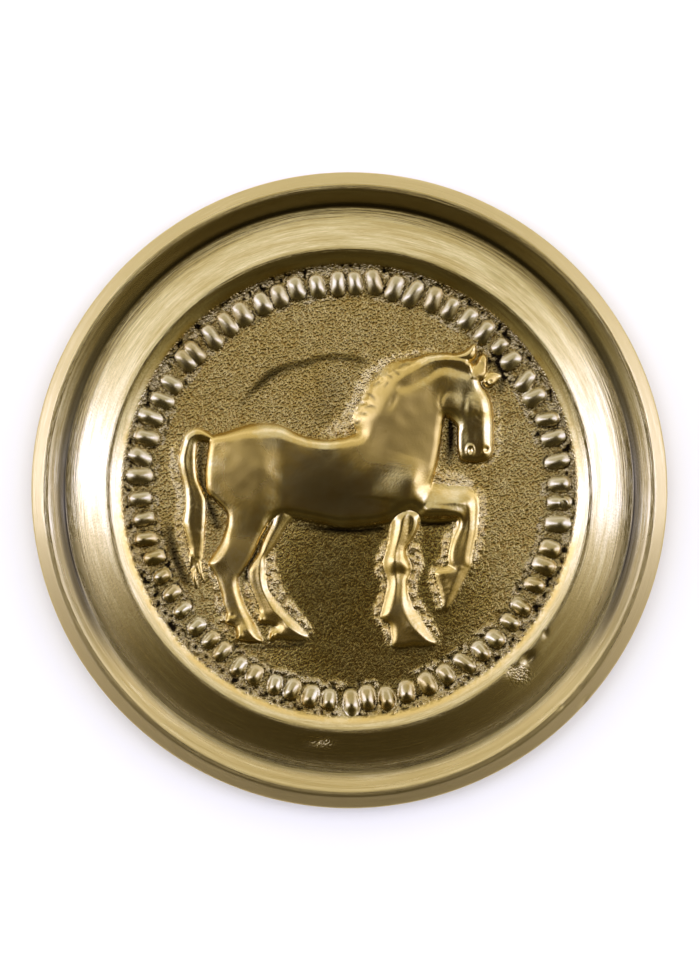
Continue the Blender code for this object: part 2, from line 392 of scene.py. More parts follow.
# %% Outlines of the tail and the far hind leg
TAIL = [
    (-19.4, 7.95, 0.9, 0.7), (-20.3, 7.6, 1, 0.7), (-20.9, 7, 1, 0.75), (-21.2, 6, 1, 0.75),
    (-21.5, 5, 1, 0.75), (-21.7, 4, 1, 0.75), (-21.6, 3, 1, 0.75), (-21.4, 2, 0.9, 0.7),
    (-21.1, 1, 0.8, 0.7), (-20.9, 0, 0.8, 0.7), (-20.85, -2, 0.8, 0.7), (-21.1, -4, 0.9, 0.7),
    (-20.9, -5, 0.9, 0.7), (-20.6, -6, 0.8, 0.65), (-20.25, -7.2, 0.7, 0.6),
    (-20.05, -8.5, 0.5, 0.55), (-19.9, -9.5, 0.4, 0.45), (-19.6, -10.3, 0.4, 0.4),
    (-19.1, -10.4, 0.4, 0.4), (-18.7, -10, 0.4, 0.45), (-18.5, -9, 0.5, 0.5),
    (-18.35, -8, 0.6, 0.55), (-18.2, -6.5, 0.6, 0.6), (-18.1, -5, 0.6, 0.65),
    (-17.95, -3.6, 0.6, 0.65), (-17.95, -1.2, 0.6, 0.65), (-18.5, 0.2, 0.5, 0.65),
    (-19, 1.4, 0.5, 0.65), (-19.2, 3, 0.5, 0.65), (-19.2, 5, 0.5, 0.65), (-18.9, 6.1, 0.5, 0.65),
    (-17.8, 6, 0.6, 0.8), (-16.9, 6.2, 0.8, 1), (-17.2, 6.9, 0.9, 1), (-18.5, 7.8, 0.9, 0.8)]
FAR_HIND = [
    (-8, -2, 1, 0.9), (-7, -3.2, 1, 0.8), (-7.6, -4.2, 1, 0.8), (-8.2, -5.1, 1, 0.8),
    (-9.2, -6.8, 1, 0.8), (-10, -7.9, 0.9, 0.8), (-10.5, -8.6, 0.9, 0.8), (-10.45, -9.4, 1, 0.8),
    (-10.35, -10.3, 1.2, 0.8), (-10.3, -11.2, 1.3, 0.8), (-10.1, -12.3, 1.4, 0.8),
    (-9.4, -13.5, 1.6, 0.8), (-8.2, -15, 1.8, 0.85), (-7, -16.2, 1.9, 0.85),
    (-5.9, -17.3, 1.9, 0.85), (-5.1, -18.3, 1.5, 0.8), (-5.6, -18.9, 0.9, 0.65),
    (-7.5, -18.8, 0.7, 0.6), (-9.2, -18.7, 0.6, 0.55), (-10.2, -19, 0.6, 0.55),
    (-9.9, -18, 0.5, 0.55), (-9.3, -17.2, 0.6, 0.5), (-10.5, -16.9, 0.6, 0.55),
    (-11.2, -16.7, 0.6, 0.6), (-11.5, -16, 0.6, 0.6), (-11.3, -15.2, 0.5, 0.55),
    (-11.8, -13.8, 0.5, 0.55), (-12.2, -12.7, 0.5, 0.55), (-12.7, -11.3, 0.6, 0.6),
    (-12.8, -10, 0.7, 0.65), (-12.3, -9, 0.8, 0.7), (-11.6, -8, 0.8, 0.7), (-11.2, -6.8, 0.8, 0.75),
    (-10.6, -5.4, 0.8, 0.8), (-10, -4, 0.9, 0.8), (-9.6, -2.6, 1, 0.9)]
# locks at the end of the tail: rows of x, y, half width, height
LOCKS = [
    [(-19.85, -7.4, 0.25, 0.0), (-19.95, -8.2, 0.25, 0.5), (-20, -9.6, 0.2, 0.35)],
    [(-19.6, -10, 0.3, 0.5), (-19.5, -11.2, 0.3, 0.5), (-19.3, -12.3, 0.2, 0.1)],
    [(-18.95, -9.2, 0.25, 0.5), (-18.7, -10.4, 0.25, 0.5), (-18.4, -11.5, 0.2, 0.2)],
]
print("the tail ends in", len(LOCKS), "locks")


# %% Outlines of the forelegs
STANDING = [
    (7, -2.2, 0.9, 1), (6.2, -2.6, 1.2, 1), (5.5, -3.2, 1.3, 1), (5.3, -4.3, 1.4, 1),
    (5.15, -5.4, 1.4, 1), (4.85, -6.5, 1.6, 1.05), (4.5, -7.6, 1.8, 1.1), (4.2, -8.7, 1.8, 1.1),
    (4.2, -9.7, 1.7, 1.05), (4.5, -10.6, 1.5, 0.95), (4.75, -11.6, 1.4, 0.9),
    (4.6, -12.7, 1.4, 0.9), (4.3, -13.8, 1.4, 0.9), (4, -15, 1.4, 0.9), (3.85, -16, 1.2, 0.85),
    (4.5, -16.5, 0.9, 0.8), (5.1, -17, 0.9, 0.75), (5.2, -18.3, 0.9, 0.75), (5.4, -19.6, 0.7, 0.7),
    (6.6, -19.8, 0.7, 0.7), (8, -19.6, 0.8, 0.7), (9.5, -19.6, 0.8, 0.75), (10.9, -19.3, 1.2, 0.85),
    (10.3, -18.1, 2, 1), (9.6, -16.9, 2, 1), (8.9, -15.8, 1.9, 0.95), (8.2, -14.7, 1.7, 0.9),
    (7.7, -13.6, 1.2, 0.85), (7.4, -12.4, 0.8, 0.8), (7.4, -11.4, 0.8, 0.8), (7.7, -10.6, 1, 0.85),
    (7.85, -9.8, 1.1, 0.9), (7.6, -9, 1, 0.9), (7.25, -8.2, 0.9, 0.9), (7.2, -7.4, 0.8, 0.9),
    (7.8, -6.5, 0.9, 0.9), (8.3, -5.7, 0.9, 0.9), (8.7, -4.8, 0.9, 0.9), (8.9, -3.8, 0.9, 0.9),
    (8.8, -3.1, 0.9, 0.9), (8.2, -2.6, 0.8, 0.9), (7.6, -2.3, 0.7, 0.9)]
RAISED = [
    (8.5, 0.4, 2, 1), (9.6, 0.65, 2.2, 1.1), (10.7, 0.6, 2.5, 1.15), (12, 0.3, 2.6, 1.25),
    (13.5, 0.2, 2.5, 1.2), (14.7, 0.1, 2.2, 1.15), (15.5, -0.3, 1.7, 1.1), (16, -1, 1.5, 1.05),
    (16.15, -2, 1.2, 1), (16.1, -3.2, 1.1, 0.95), (16.05, -4.3, 1.1, 0.9), (15.9, -5.5, 1, 0.85),
    (15.6, -6.8, 0.9, 0.8), (15.3, -8.2, 0.8, 0.75), (15.05, -9.6, 0.7, 0.7),
    (13.8, -10.1, 0.6, 0.7), (12.9, -9.6, 0.5, 0.7), (12.6, -8.5, 0.5, 0.7),
    (12.75, -7.2, 0.5, 0.7), (13.1, -6.1, 0.5, 0.7), (13.5, -5.1, 0.5, 0.75),
    (13.8, -4.3, 0.5, 0.8), (13.7, -3.5, 0.7, 0.9), (12.6, -3.5, 1.2, 1), (11, -3.6, 1.4, 1.05),
    (9.8, -3.6, 1.4, 1.05), (8.5, -3.1, 1.6, 1), (7.8, -1.4, 2, 1)]
HOOF = [
    (11.2, -10, 0.6, 0.65), (10.75, -10.4, 0.5, 0.6), (10.95, -11.3, 0.5, 0.6),
    (11.3, -12.5, 0.5, 0.6), (11.6, -13.8, 0.5, 0.55), (11.8, -14.8, 0.4, 0.5),
    (12.2, -14.9, 0.4, 0.5), (12.8, -14.2, 0.6, 0.55), (13.4, -13.2, 0.9, 0.65),
    (14, -12.1, 1, 0.7), (14.6, -10.9, 1.1, 0.75), (14.9, -9.8, 1, 0.75), (14, -9.2, 1, 0.75),
    (12.8, -9.6, 0.8, 0.7)]
print("the raised foreleg reaches out to x =", max(row[0] for row in RAISED), "mm")


# %% Outlines of the ears and the forelock
FIRST_EAR = [
    (12.6, 16.9, 0.8, 1.4), (14.2, 17.4, 0.8, 1.4), (15, 17.9, 0.7, 1.4), (15.5, 18.4, 0.5, 1.35),
    (15.9, 18.4, 0.4, 1.3), (16.05, 17.5, 0.5, 1.3), (15.9, 16.7, 0.6, 1.3),
    (15.3, 16.2, 0.6, 1.35), (14.4, 16.2, 0.8, 1.4), (13.4, 16.4, 0.8, 1.4)]
SECOND_EAR = [
    (15, 14, 0.8, 1.3), (15.3, 15.2, 0.7, 1.15), (15.9, 16.2, 0.6, 1), (16.5, 17, 0.5, 0.85),
    (17, 17.2, 0.5, 0.8), (17.35, 16.7, 0.45, 0.9), (17.4, 15.6, 0.45, 1), (17.35, 14.8, 0.5, 1.1),
    (16.9, 14, 0.9, 1.25), (16, 13.5, 0.9, 1.3)]
FORELOCK = [
    (16.6, 13.6, 0.9, 1.05), (17.2, 14.7, 0.6, 0.75), (18, 15, 0.5, 0.65), (18.8, 14.8, 0.4, 0.55),
    (19.2, 14.4, 0.4, 0.55), (18.7, 13.7, 0.5, 0.75), (18, 13.1, 0.6, 0.85),
    (17.2, 12.9, 0.8, 0.95)]
print("the first ear's tip stands at y =", max(row[1] for row in FIRST_EAR), "mm")


# %% [markdown]
# ## Muscles and features
# Rubbing with a rag and whiting left the broad forms soft: the round of the rump, the flank, the
# breast that stands out over the forearm, and a trough between the mane and the neck. They are
# swellings and grooves of a tenth to a third of a millimetre. On bright metal that is plenty,
# because a slope of a few degrees already mirrors another part of the room.

# %% Trunk and neck
TRUNK_SWELLINGS = [
    (-13.6, 2.6, 3.4, 6.0, 0.3),                # the round of the rump
    (-11.0, 1.6, 1.2, 4.5, 0.07),
    (6.8, 8.5, 4.5, 5.0, 0.25),                 # the neck, which rounds off to the throat
    (7.8, 1.2, 2.2, 3.0, 0.22),                 # the breast
    (10.9, -0.2, 2.3, 2.2, -0.3),               # the hollow over the forearm
    (5.4, 11.0, 0.45, 1.0, -0.1, -28),          # a lock that hangs over the neck
]
FLANK_GROOVE = [(-8.9, 7.0, 0.9, 0.0), (-8.3, 4.4, 1.3, -0.08), (-8.2, 1, 1.3, -0.09),
                (-8.7, -2, 1.1, -0.06), (-9.2, -3.4, 0.9, -0.02)]
MANE_TROUGH = [(5.8, 12.6, 0.4, 0.0), (6.4, 12.9, 0.6, -0.1), (7.5, 13.2, 0.75, -0.14),
               (8.6, 13.8, 0.75, -0.17), (9.8, 14.5, 0.75, -0.18), (11, 15.3, 0.75, -0.18),
               (12.4, 15.5, 0.75, -0.18), (13.6, 15.2, 0.75, -0.17), (15, 14.7, 0.6, -0.14)]


def trunk(x, y):
    """The body with the near hind leg, up to the head."""
    body = raised(x, y, BODY, dome=0.12, over=4.5)
    body = body + swellings(x, y, TRUNK_SWELLINGS)
    return body + ridge(x, y, FLANK_GROOVE) + ridge(x, y, MANE_TROUGH)


def height_at(shape, x, y):
    """One height out of a shape, to print."""
    return round(float(shape(np.array([x], float), np.array([y], float))[0]), 2)


print("over the field: rump", height_at(trunk, -13.6, 2.6), "mm, neck", height_at(trunk, 6, 10))


# %% Legs, hooves and tail
FOREARM = [(8.6, -2.2, 1.2, 0.0), (10, -2.7, 1.2, 0.3), (12, -2.7, 1.2, 0.38),
           (13.6, -2.6, 1.2, 0.3), (14.8, -2.4, 1.0, 0.0)]
UNDER_KNEE = [(4.8, -10.7, 0.6, 0.0), (5.8, -10.5, 0.6, -0.1), (6.8, -10.4, 0.6, -0.14),
              (7.8, -10.2, 0.5, -0.06)]
KNEE = [(6.0, -9.0, 1.0, 0.9, 0.14)]
BETWEEN_MUSCLES = [(7.6, -2.6, 0.4, -0.02), (7.5, -4, 0.45, -0.1), (7.3, -5.4, 0.45, -0.1),
                   (6.8, -6.8, 0.4, -0.05)]
# heels, fetlocks and pasterns of the hind legs: x, y, half width, half height, rise
HIND_JOINTS = [(-13.75, -18.3, 0.35, 0.6, 0.22), (-15.3, -16.3, 0.8, 0.5, 0.12),
               (-9.7, -18.1, 0.4, 0.9, 0.3), (-11.15, -16.4, 0.4, 0.6, 0.25),
               (-12.9, -17.9, 1.3, 1.0, 0.15), (-7.6, -17.6, 1.2, 1.0, 0.12)]
LEVEL = -0.05                   # in mm: the sand was struck off level, and no field lies lower


def with_limbs(x, y, body):
    """The body with the tail and the other legs joined on, and the joints cut into them."""
    for limb, blend in ((FAR_HIND, 0.12), (TAIL, 0.12)):
        body = join(body, raised(x, y, limb), blend)
    body = join(body, LEVEL + strongest(x, y, LOCKS), 0.1)
    body = join(body, raised(x, y, STANDING), 0.15)
    body = join(body, raised(x, y, RAISED) + ridge(x, y, FOREARM), 1.0)
    body = body + ridge(x, y, UNDER_KNEE) + swellings(x, y, KNEE) + ridge(x, y, BETWEEN_MUSCLES)
    body = join(body, raised(x, y, HOOF), 0.5)
    return body + swellings(x, y, HIND_JOINTS)


def trunk_and_legs(x, y):
    return with_limbs(x, y, trunk(x, y))


print("raised foreleg", height_at(trunk_and_legs, 12, -2), "mm over the field")


# %% Head, ears and the edge of the breast
BEHIND_CHEEK = [(11.8, 10.0, 0.3, 0.0), (11.5, 10.6, 0.32, -0.07), (11.5, 11.4, 0.35, -0.07),
                (12.0, 12.3, 0.4, -0.04), (13.2, 12.8, 0.4, 0.0)]
FACE_STEP = [(15.3, 13.2, 3, 0.0), (15.3, 12.4, 3, 0.04), (15.25, 11.4, 3, 0.14),
             (15.2, 10.2, 3, 0.18), (15.15, 9.2, 3, 0.07), (15.1, 7.5, 3, 0.06),
             (15.1, 6, 3, 0.05), (15.1, 5, 3, 0.0)]
NOSTRIL_RIM = circle(15.2, 5.0, 0.36, 0.62, 0.15, 0.13)
CHEEK_AND_NOSTRILS = [
    (12.9, 11.2, 1.2, 1.2, 0.1),                # cheek
    (15.2, 5.1, 0.2, 0.35, -0.15),              # the hole of the near nostril
    (17.25, 5.15, 0.22, 0.26, -0.25),           # the far nostril
    (16.95, 4.7, 0.3, 0.3, 0.08),               # the lip under it
]
EAR_GROOVE = [(16.3, 17.3, 0.2, -0.2), (16.1, 16.4, 0.2, -0.2), (15.9, 15.4, 0.2, -0.1)]
UNDER_FORELOCK = [(16.3, 14.2, 0.2, -0.1), (17.1, 13.0, 0.25, -0.3), (18, 12.6, 0.25, -0.2)]
BROW = [(15.2, 15.9, 0.15, 0.1), (15.25, 15.1, 0.15, 0.14), (15.5, 14.2, 0.15, 0.1)]
EYE = [(15.2, 16.25, 0.17, 0.22, -0.4)]
BREAST_EDGE = [(7.8, -2.8, 5, 0.05), (8.1, -1.2, 5, 0.28), (8.0, 0.8, 5, 0.32), (8.1, 2.4, 5, 0.16),
               (8.6, 4.0, 5, 0.0)]


def with_head(x, y, body):
    """Features of the head, ears and forelock, and the breast's edge over the forearm."""
    body = body + ridge(x, y, BEHIND_CHEEK) + bank(x, y, FACE_STEP, lip=0.6)
    body = body + ridge(x, y, NOSTRIL_RIM) + swellings(x, y, CHEEK_AND_NOSTRILS)
    for outline in (FIRST_EAR, SECOND_EAR, FORELOCK):
        body = join(body, raised(x, y, outline, dome=0.02), 0.1)
    body = body + ridge(x, y, EAR_GROOVE) + ridge(x, y, UNDER_FORELOCK)
    body = body + ridge(x, y, BROW) + swellings(x, y, EYE)
    return body + bank(x, y, BREAST_EDGE, lip=1.3)


def horse(x, y):
    """Height of the whole horse over the field."""
    return with_head(x, y, with_limbs(x, y, trunk(x, y)))


print("cheek", height_at(horse, 12.9, 11.2), "and muzzle", height_at(horse, 16, 5), "mm")


# %% [markdown]
# ## Where the horse is satin
# The rag took the high edges to a full polish. It only skimmed the broad sides, which stay satin
# and mirror a softer, wider piece of the room. The patches are painted as soft swellings, from 0
# for polished to 1 for satin, and the lower legs are satin all over.

# %% Satin patches of the horse
SATIN_PATCHES = [
    (4.5, 4.6, 4.0, 1.8, 0.7), (-6.5, 5.0, 2.0, 1.5, 0.4),              # shoulder, loin
    (5.5, 9.5, 4.5, 5.0, 1.3), (9.5, 7.0, 2.5, 5.0, 1.0),               # neck, throat
    (-13.0, 3.4, 4.5, 5.0, 1.0), (-14.0, -8, 3, 5, 0.4),                # rump, gaskin
    (16.5, 15.5, 1.3, 1.8, 1.0), (18.2, 14.0, 1.0, 0.7, 0.7),           # ears, forelock
]
SATIN_LEGS = 0.4


def satin_of_horse(x, y):
    satin = swellings(x, y, SATIN_PATCHES) + SATIN_LEGS * soft_step(-4.0, -7.0, y)
    return np.clip(satin, 0.0, 1.0)


print("satin on the neck:", height_at(satin_of_horse, 5.5, 9.5))


# %% [markdown]
# ## The bead ring
# Each bead was pressed into the mould by hand with a round-nosed punch: sixty-four of them, no two
# alike. They are blunt eggs about 3.2 mm long and 2.1 mm wide, and their spacing wanders by a
# degree or two as the hand worked round. Copies of one bead would look machined, so each bead gets
# its own row of sizes, leans and twists, drawn from a seeded generator.

# %% The beads' own sizes and leans
BEAD_COUNT = 64
BEAD_RING_R = 26.15
BEAD_HALF_LONG = 1.62
BEAD_HALF_WIDE = 1.06
BEAD_RISE = 0.6
SMALL_BEAD = 7                  # one punch mark that hardly went in
FIRST_BEAD_DEG = 2.0
# a burst bubble left a ring on one bead
SCAR = circle(27.0, -1.75, 0.5, 0.62, 0.12, 0.14)


def crumbled(degrees):
    """How far the sand crumbled behind the punch, 0 to 1: worst towards the hooves."""
    return math.exp(-((degrees - 222) / 28) ** 2) + 0.6 * math.exp(-((degrees - 318) / 20) ** 2)


def bead_rows():
    """Angle, radius, half length, half width, rise, lean along the radius and across, twist."""
    chance = np.random.default_rng(64)
    rows = []
    for i in range(BEAD_COUNT):
        even = math.radians(360 / BEAD_COUNT * i + FIRST_BEAD_DEG)
        drift = 2.0 * math.sin(even) + 1.0 * math.sin(2 * even) + chance.normal(0, 0.4)
        angle = even + math.radians(drift)
        short = crumbled(math.degrees(angle))
        size = 0.8 if i == SMALL_BEAD else 1.0
        lean = 0.2 if math.sin(even) < 0.4 else -0.03
        rows.append((
            angle,
            BEAD_RING_R - 0.5 * short + chance.normal(0, 0.09),
            size * (BEAD_HALF_LONG - 0.36 * short) * chance.normal(1, 0.06),
            size * (BEAD_HALF_WIDE - 0.12 * short) * chance.normal(1, 0.06),
            size * BEAD_RISE * chance.normal(1, 0.07),
            lean + chance.normal(0, 0.07),
            chance.normal(0, 0.09),
            chance.normal(0, 0.13)))
    return rows


BEADS = bead_rows()
print(BEAD_COUNT, "beads, about", round(2 * math.pi * BEAD_RING_R / BEAD_COUNT, 2), "mm apart")


# %% The beads as heights
BEAD_BOX = 2.4                  # nothing of a bead is further from its middle than this, in mm
EGG = 0.07                      # how much thinner the outer end is
BLUNT_LONG, BLUNT_WIDE, BLUNT_TOP = 3.0, 2.5, 0.84      # 2, 2 and 1 would give a plain ellipsoid


def beads(x, y):
    """Height of the beads over the field."""
    out = np.full(x.shape, DEEP)
    for angle, radius, long, wide, rise, lean, tip, twist in BEADS:
        cx, cy = radius * math.cos(angle), radius * math.sin(angle)
        box = (np.abs(x - cx) < BEAD_BOX) & (np.abs(y - cy) < BEAD_BOX)
        if not box.any():
            continue
        turn = angle + twist
        u = (x[box] - cx) * math.cos(turn) + (y[box] - cy) * math.sin(turn)
        v = (y[box] - cy) * math.cos(turn) - (x[box] - cx) * math.sin(turn)
        egg = wide * (1.0 - EGG * u / long)
        out_from = np.abs(u / long) ** BLUNT_LONG + np.abs(v / egg) ** BLUNT_WIDE
        top = rise * (1.0 - out_from ** BLUNT_TOP) + lean * u + tip * v
        out[box] = np.maximum(out[box], top)
    return out


angle, radius = BEADS[0][:2]
print("the first bead stands",
      height_at(beads, radius * math.cos(angle), radius * math.sin(angle)), "mm over the field")


# %% [markdown]
# ## The sand skin
# The field was never filed. It keeps the print of the moulding sand: grains of a quarter to half a
# millimetre, coarser crumbs where the sand tore at the foot of the beads and of the horse, and an
# arc over the horse's back where the sand had sagged and came out smoother. Crumbs are geometry
# here, because they show as shapes. Only the finest grain is left to the material. Where the sand
# tore is a matter of this one casting, so the places are drawn one by one as soft lines.

# %% Banks of torn sand at the foot of the horse
# rows of x, y, half width, rise
BANKS = [
    [(-22, 6.2, 0.5, 0.1), (-22.2, 4, 0.6, 0.25), (-22, 1.6, 0.6, 0.22), (-21.4, -0.6, 0.5, 0.2),
     (-21.5, -3, 0.6, 0.25), (-21.4, -5.4, 0.6, 0.25), (-20.8, -8, 0.5, 0.2),
     (-20.3, -10.3, 0.4, 0.1)],
    [(-4.5, 7, 0.4, 0.0), (-2.6, 7.3, 0.6, 0.2), (-1, 7.9, 0.9, 0.5), (-0.2, 8.8, 0.8, 0.5),
     (0.2, 10.4, 0.6, 0.4), (1.2, 12.6, 0.6, 0.4), (2.6, 14.8, 0.6, 0.4), (4.6, 16.3, 0.5, 0.35),
     (7, 17.2, 0.4, 0.2), (10.5, 17.8, 0.4, 0.1)],
    [(11, 2.6, 0.8, 0.15), (11.4, 1.7, 1.1, 0.42), (13, 1.2, 1, 0.42), (14.8, 0.9, 0.7, 0.3),
     (16.2, 0.2, 0.5, 0.2), (16.8, -1.4, 0.5, 0.3), (16.8, -3.4, 0.5, 0.35), (16.6, -5.4, 0.5, 0.3),
     (16.2, -7.4, 0.5, 0.25), (15.6, -9.4, 0.4, 0.15)],
    [(13.2, -4.4, 0.4, 0.15), (12.6, -5.6, 0.5, 0.3), (12.2, -7.2, 0.5, 0.3), (12, -8.8, 0.6, 0.3),
     (11, -9.6, 0.5, 0.2), (10.5, -11.2, 0.4, 0.25), (10.9, -13, 0.4, 0.25),
     (11.4, -14.8, 0.4, 0.15)],
    [(9, -4.6, 0.3, 0.0), (8.3, -6.8, 0.5, 0.25), (8.1, -8, 0.6, 0.35), (8.7, -9.6, 0.5, 0.3),
     (8, -11.2, 0.5, 0.25), (8, -12.8, 0.5, 0.3), (8.6, -14.4, 0.5, 0.3), (9.6, -16, 0.5, 0.25),
     (10.7, -17.8, 0.4, 0.2), (11.3, -19.2, 0.4, 0.1)],
    [(4.9, -6, 0.3, 0.1), (3.9, -8.4, 0.4, 0.3), (3.8, -10.4, 0.4, 0.25), (4.3, -12, 0.3, 0.2),
     (3.8, -14, 0.4, 0.25), (3.5, -16, 0.4, 0.25), (4.6, -17.4, 0.4, 0.2), (5, -19.2, 0.4, 0.15)],
    [(-9.6, -7.8, 0.4, 0.1), (-9.9, -9.4, 0.5, 0.35), (-9.6, -11.2, 0.6, 0.4),
     (-9, -12.8, 0.6, 0.35), (-7.6, -14.6, 0.5, 0.3), (-6.2, -16.2, 0.5, 0.25),
     (-4.9, -17.8, 0.4, 0.15)],
    [(-18.6, -8.4, 0.3, 0.1), (-18.1, -9.8, 0.4, 0.25), (-17.2, -11, 0.4, 0.2),
     (-16.7, -13, 0.4, 0.2), (-16.4, -15, 0.5, 0.3), (-15.6, -17.6, 0.5, 0.2)],
    [(18.7, 10.5, 0.3, 0.1), (18.9, 8, 0.4, 0.2), (18.8, 5.6, 0.4, 0.2), (18.3, 3.8, 0.3, 0.15),
     (16.2, 2.9, 0.3, 0.15)],
    [(-13, -12, 0.4, 0.2), (-12.4, -14, 0.4, 0.25), (-11.6, -15.6, 0.4, 0.2)],
]
print(len(BANKS), "banks of torn sand")


# %% Painted shade in creases and hollows
# rows of x, y, half width, strength
# painted shade in creases, under the belly, foreleg and hooves, and along the dent's edge
SHADE_LINES = [
    [(12.7, 8.6, 0.4, 0.8), (12.8, 7, 0.6, 0.75), (12.7, 5, 0.6, 0.6), (12.6, 3.4, 0.5, 0.3)],
    [(-18.6, 5.6, 0.4, 0.5), (-18.8, 3.4, 0.4, 0.5), (-18.7, 1, 0.4, 0.6), (-18, -1.2, 0.5, 0.6),
     (-17.2, -3, 0.6, 0.6), (-16.6, -4.6, 0.5, 0.5)],
    [(-11.4, -6.4, 0.3, 0.7), (-12.6, -9.6, 0.4, 0.8), (-13.1, -11.6, 0.4, 0.5)],
    [(8.8, -4.1, 0.4, 0.5), (10.5, -4.2, 0.4, 0.7), (12.6, -4.1, 0.4, 0.7), (13.3, -4.8, 0.4, 0.5)],
    [(-6.5, -4.2, 0.5, 0.3), (-3, -4.9, 0.5, 0.6), (1, -5.1, 0.5, 0.6), (4, -4.8, 0.5, 0.6)],
    [(-14, -19.7, 0.3, 0.3), (-11, -19.8, 0.3, 0.4), (-6, -19.4, 0.3, 0.4)],
    [(6, -20.1, 0.3, 0.2), (10.5, -20, 0.3, 0.3)],
    [(17.6, 16.4, 0.7, 0.8), (18.6, 16.6, 0.8, 0.9), (19.4, 14.2, 0.6, 0.6), (19, 12.6, 0.5, 0.4)],
    [(-3.4, 9.2, 1.6, 0.16), (-2.4, 12.4, 2, 0.16)],
    [(-14.2, 10.4, 0.3, 0.1), (-12.4, 12.3, 0.4, 0.35), (-10.7, 13.9, 0.6, 0.5),
     (-9.3, 14.9, 0.6, 0.5), (-7.6, 15.5, 0.5, 0.4), (-5.2, 16.1, 0.4, 0.4), (-3.3, 16.6, 0.3, 0.4),
     (-1, 16.6, 0.3, 0.35), (1, 16.4, 0.3, 0.3), (2.4, 15.8, 0.3, 0.1)],
    [(-22.6, -5, 0.8, 0.5), (-22, -8.5, 1, 0.6), (-20.6, -11.5, 0.8, 0.5)],
]
# the count printed is that of the lines of painted shade
print(len(SHADE_LINES), "sooty hollows")


# %% Rough skin and mane slits on the horse
# skin that was never filed smooth, mostly the mane: rows of x, y, half width, strength
COARSE = [
    [(0.3, 8, 0.8, 0.6), (0.7, 9.6, 0.8, 1), (1.7, 11.4, 0.9, 1), (3, 13.2, 0.9, 1),
     (4.6, 14.7, 0.9, 1), (6.6, 15.6, 0.7, 0.8), (8.8, 16.4, 0.4, 0.5), (11, 17, 0.3, 0.3)],
    [(15.7, 11.6, 0.5, 0.1), (15.8, 9, 0.6, 0.16), (15.7, 7, 0.6, 0.14), (15.6, 6, 0.4, 0.1)],
    [(15.2, 17.2, 0.6, 0.5), (16.6, 15.6, 0.8, 0.8), (18, 14, 0.7, 0.9)],
    [(-20.2, 2.4, 0.5, 0.0), (-19.5, -1, 0.7, 0.05), (-19.4, -4.4, 0.8, 0.12),
     (-19.2, -7, 0.7, 0.25), (-19.3, -9.4, 0.6, 0.3)],
    [(-15.2, -15.6, 0.5, 0.4), (-13.6, -17.4, 0.7, 0.1), (-12.6, -18.7, 0.6, 0.15)],
    [(-10.4, -17, 0.6, 0.3), (-8.4, -17.6, 0.8, 0.1), (-6.5, -18.4, 0.5, 0.12)],
    [(7.6, -7.6, 0.5, 0.5), (7.9, -9.2, 0.6, 0.6), (7.4, -10.4, 0.5, 0.3)],
    [(4.6, -16.8, 0.5, 0.2), (7.8, -17.4, 1, 0.1), (8.6, -18.8, 0.7, 0.2)],
    [(11.4, -10.4, 0.5, 0.25), (12.4, -11.6, 0.8, 0.1), (12.4, -13.6, 0.6, 0.2)],
]
# slits between the cut locks of the mane: rows of x, y, half width, depth
SLITS = [
    [(0.5, 8.9, 0.15, 0.1), (0.9, 8.4, 0.16, 0.25), (1.5, 8.9, 0.15, 0.1)],
    [(1.2, 9.7, 0.15, 0.1), (1.9, 9.6, 0.16, 0.22), (2.3, 9.8, 0.15, 0.05)],
    [(2, 10.4, 0.15, 0.1), (2.7, 10.6, 0.16, 0.25), (3.3, 10.4, 0.15, 0.1)],
    [(2.2, 12.2, 0.15, 0.1), (2.8, 11.9, 0.18, 0.25), (3.2, 11.4, 0.15, 0.1)],
    [(3.1, 13.2, 0.15, 0.1), (3.7, 13.6, 0.16, 0.2)],
    [(4.4, 13, 0.15, 0.1), (4.8, 13.5, 0.16, 0.2)],
    [(4.7, 14.6, 0.15, 0.1), (5.3, 14.2, 0.16, 0.2)],
    [(5.5, 15.1, 0.15, 0.1), (6.2, 14.6, 0.16, 0.22)],
    [(6.2, 15.4, 0.15, 0.1), (6.8, 15.8, 0.16, 0.22), (7.5, 15.9, 0.15, 0.1)],
    [(8, 16.7, 0.15, 0.1), (8.6, 16.9, 0.16, 0.15)],
    [(1.7, 11, 0.15, 0.15), (1.2, 11.4, 0.15, 0.15)],
    [(3.9, 14.8, 0.15, 0.15), (3.4, 14.4, 0.15, 0.1)],
]
print(len(SLITS), "slits in the mane")


# %% [markdown]
# ## The field
# Four things make up the bare field: the lumpy print of the sand, banks and crumbs where it tore,
# a slump towards the top, and the dent over the back. The slump carries the upper field below
# LEVEL, and whatever lies below LEVEL comes out flat once the limbs are joined on. So the field
# over the back is nearly flat, with only its higher crumbs standing out. The dent shows by its
# smoother skin and a line of painted shade along its edge, and has hardly any depth of its own
# left. The same function also says where the skin is gritty, where crumbs stick up far enough to
# be rubbed bright, and where the pits between them are deep enough to get painted shade.

# %% The dent over the horse's back
DENT = [
    (-14.8, 9.4), (-13.8, 11.3), (-12.1, 12.9), (-10.6, 14.5), (-9.3, 15.4), (-7.6, 16),
    (-5.2, 16.5), (-3.3, 17), (-1, 17.1), (1.2, 16.8), (3, 16)]
DENT_EDGE = 0.3                 # the dent falls off within this many mm of its edge
DENT_DEPTH = 0.32               # as drawn, before LEVEL cuts it off


def dent(x, y):
    """Height of the dent (negative), and how smooth the sagged sand is there, 0 to 1."""
    line = curve([point + (0, 0) for point in DENT], spacing=0.6)
    edge, side, _ = beside(x.ravel(), y.ravel(), line)
    edge, side = edge.reshape(x.shape), side.reshape(x.shape)
    along = between_steps(-14.8, -12.0, 1.0, 4.5, x)
    smooth = along * np.where(side < 0, fade(edge, 1.3), fade(edge, DENT_EDGE))
    hollow = -DENT_DEPTH * soft_step(0.0, 1.2, edge) * fade(edge, 4.0)
    return along * np.where(side < 0, hollow, 0.0), smooth


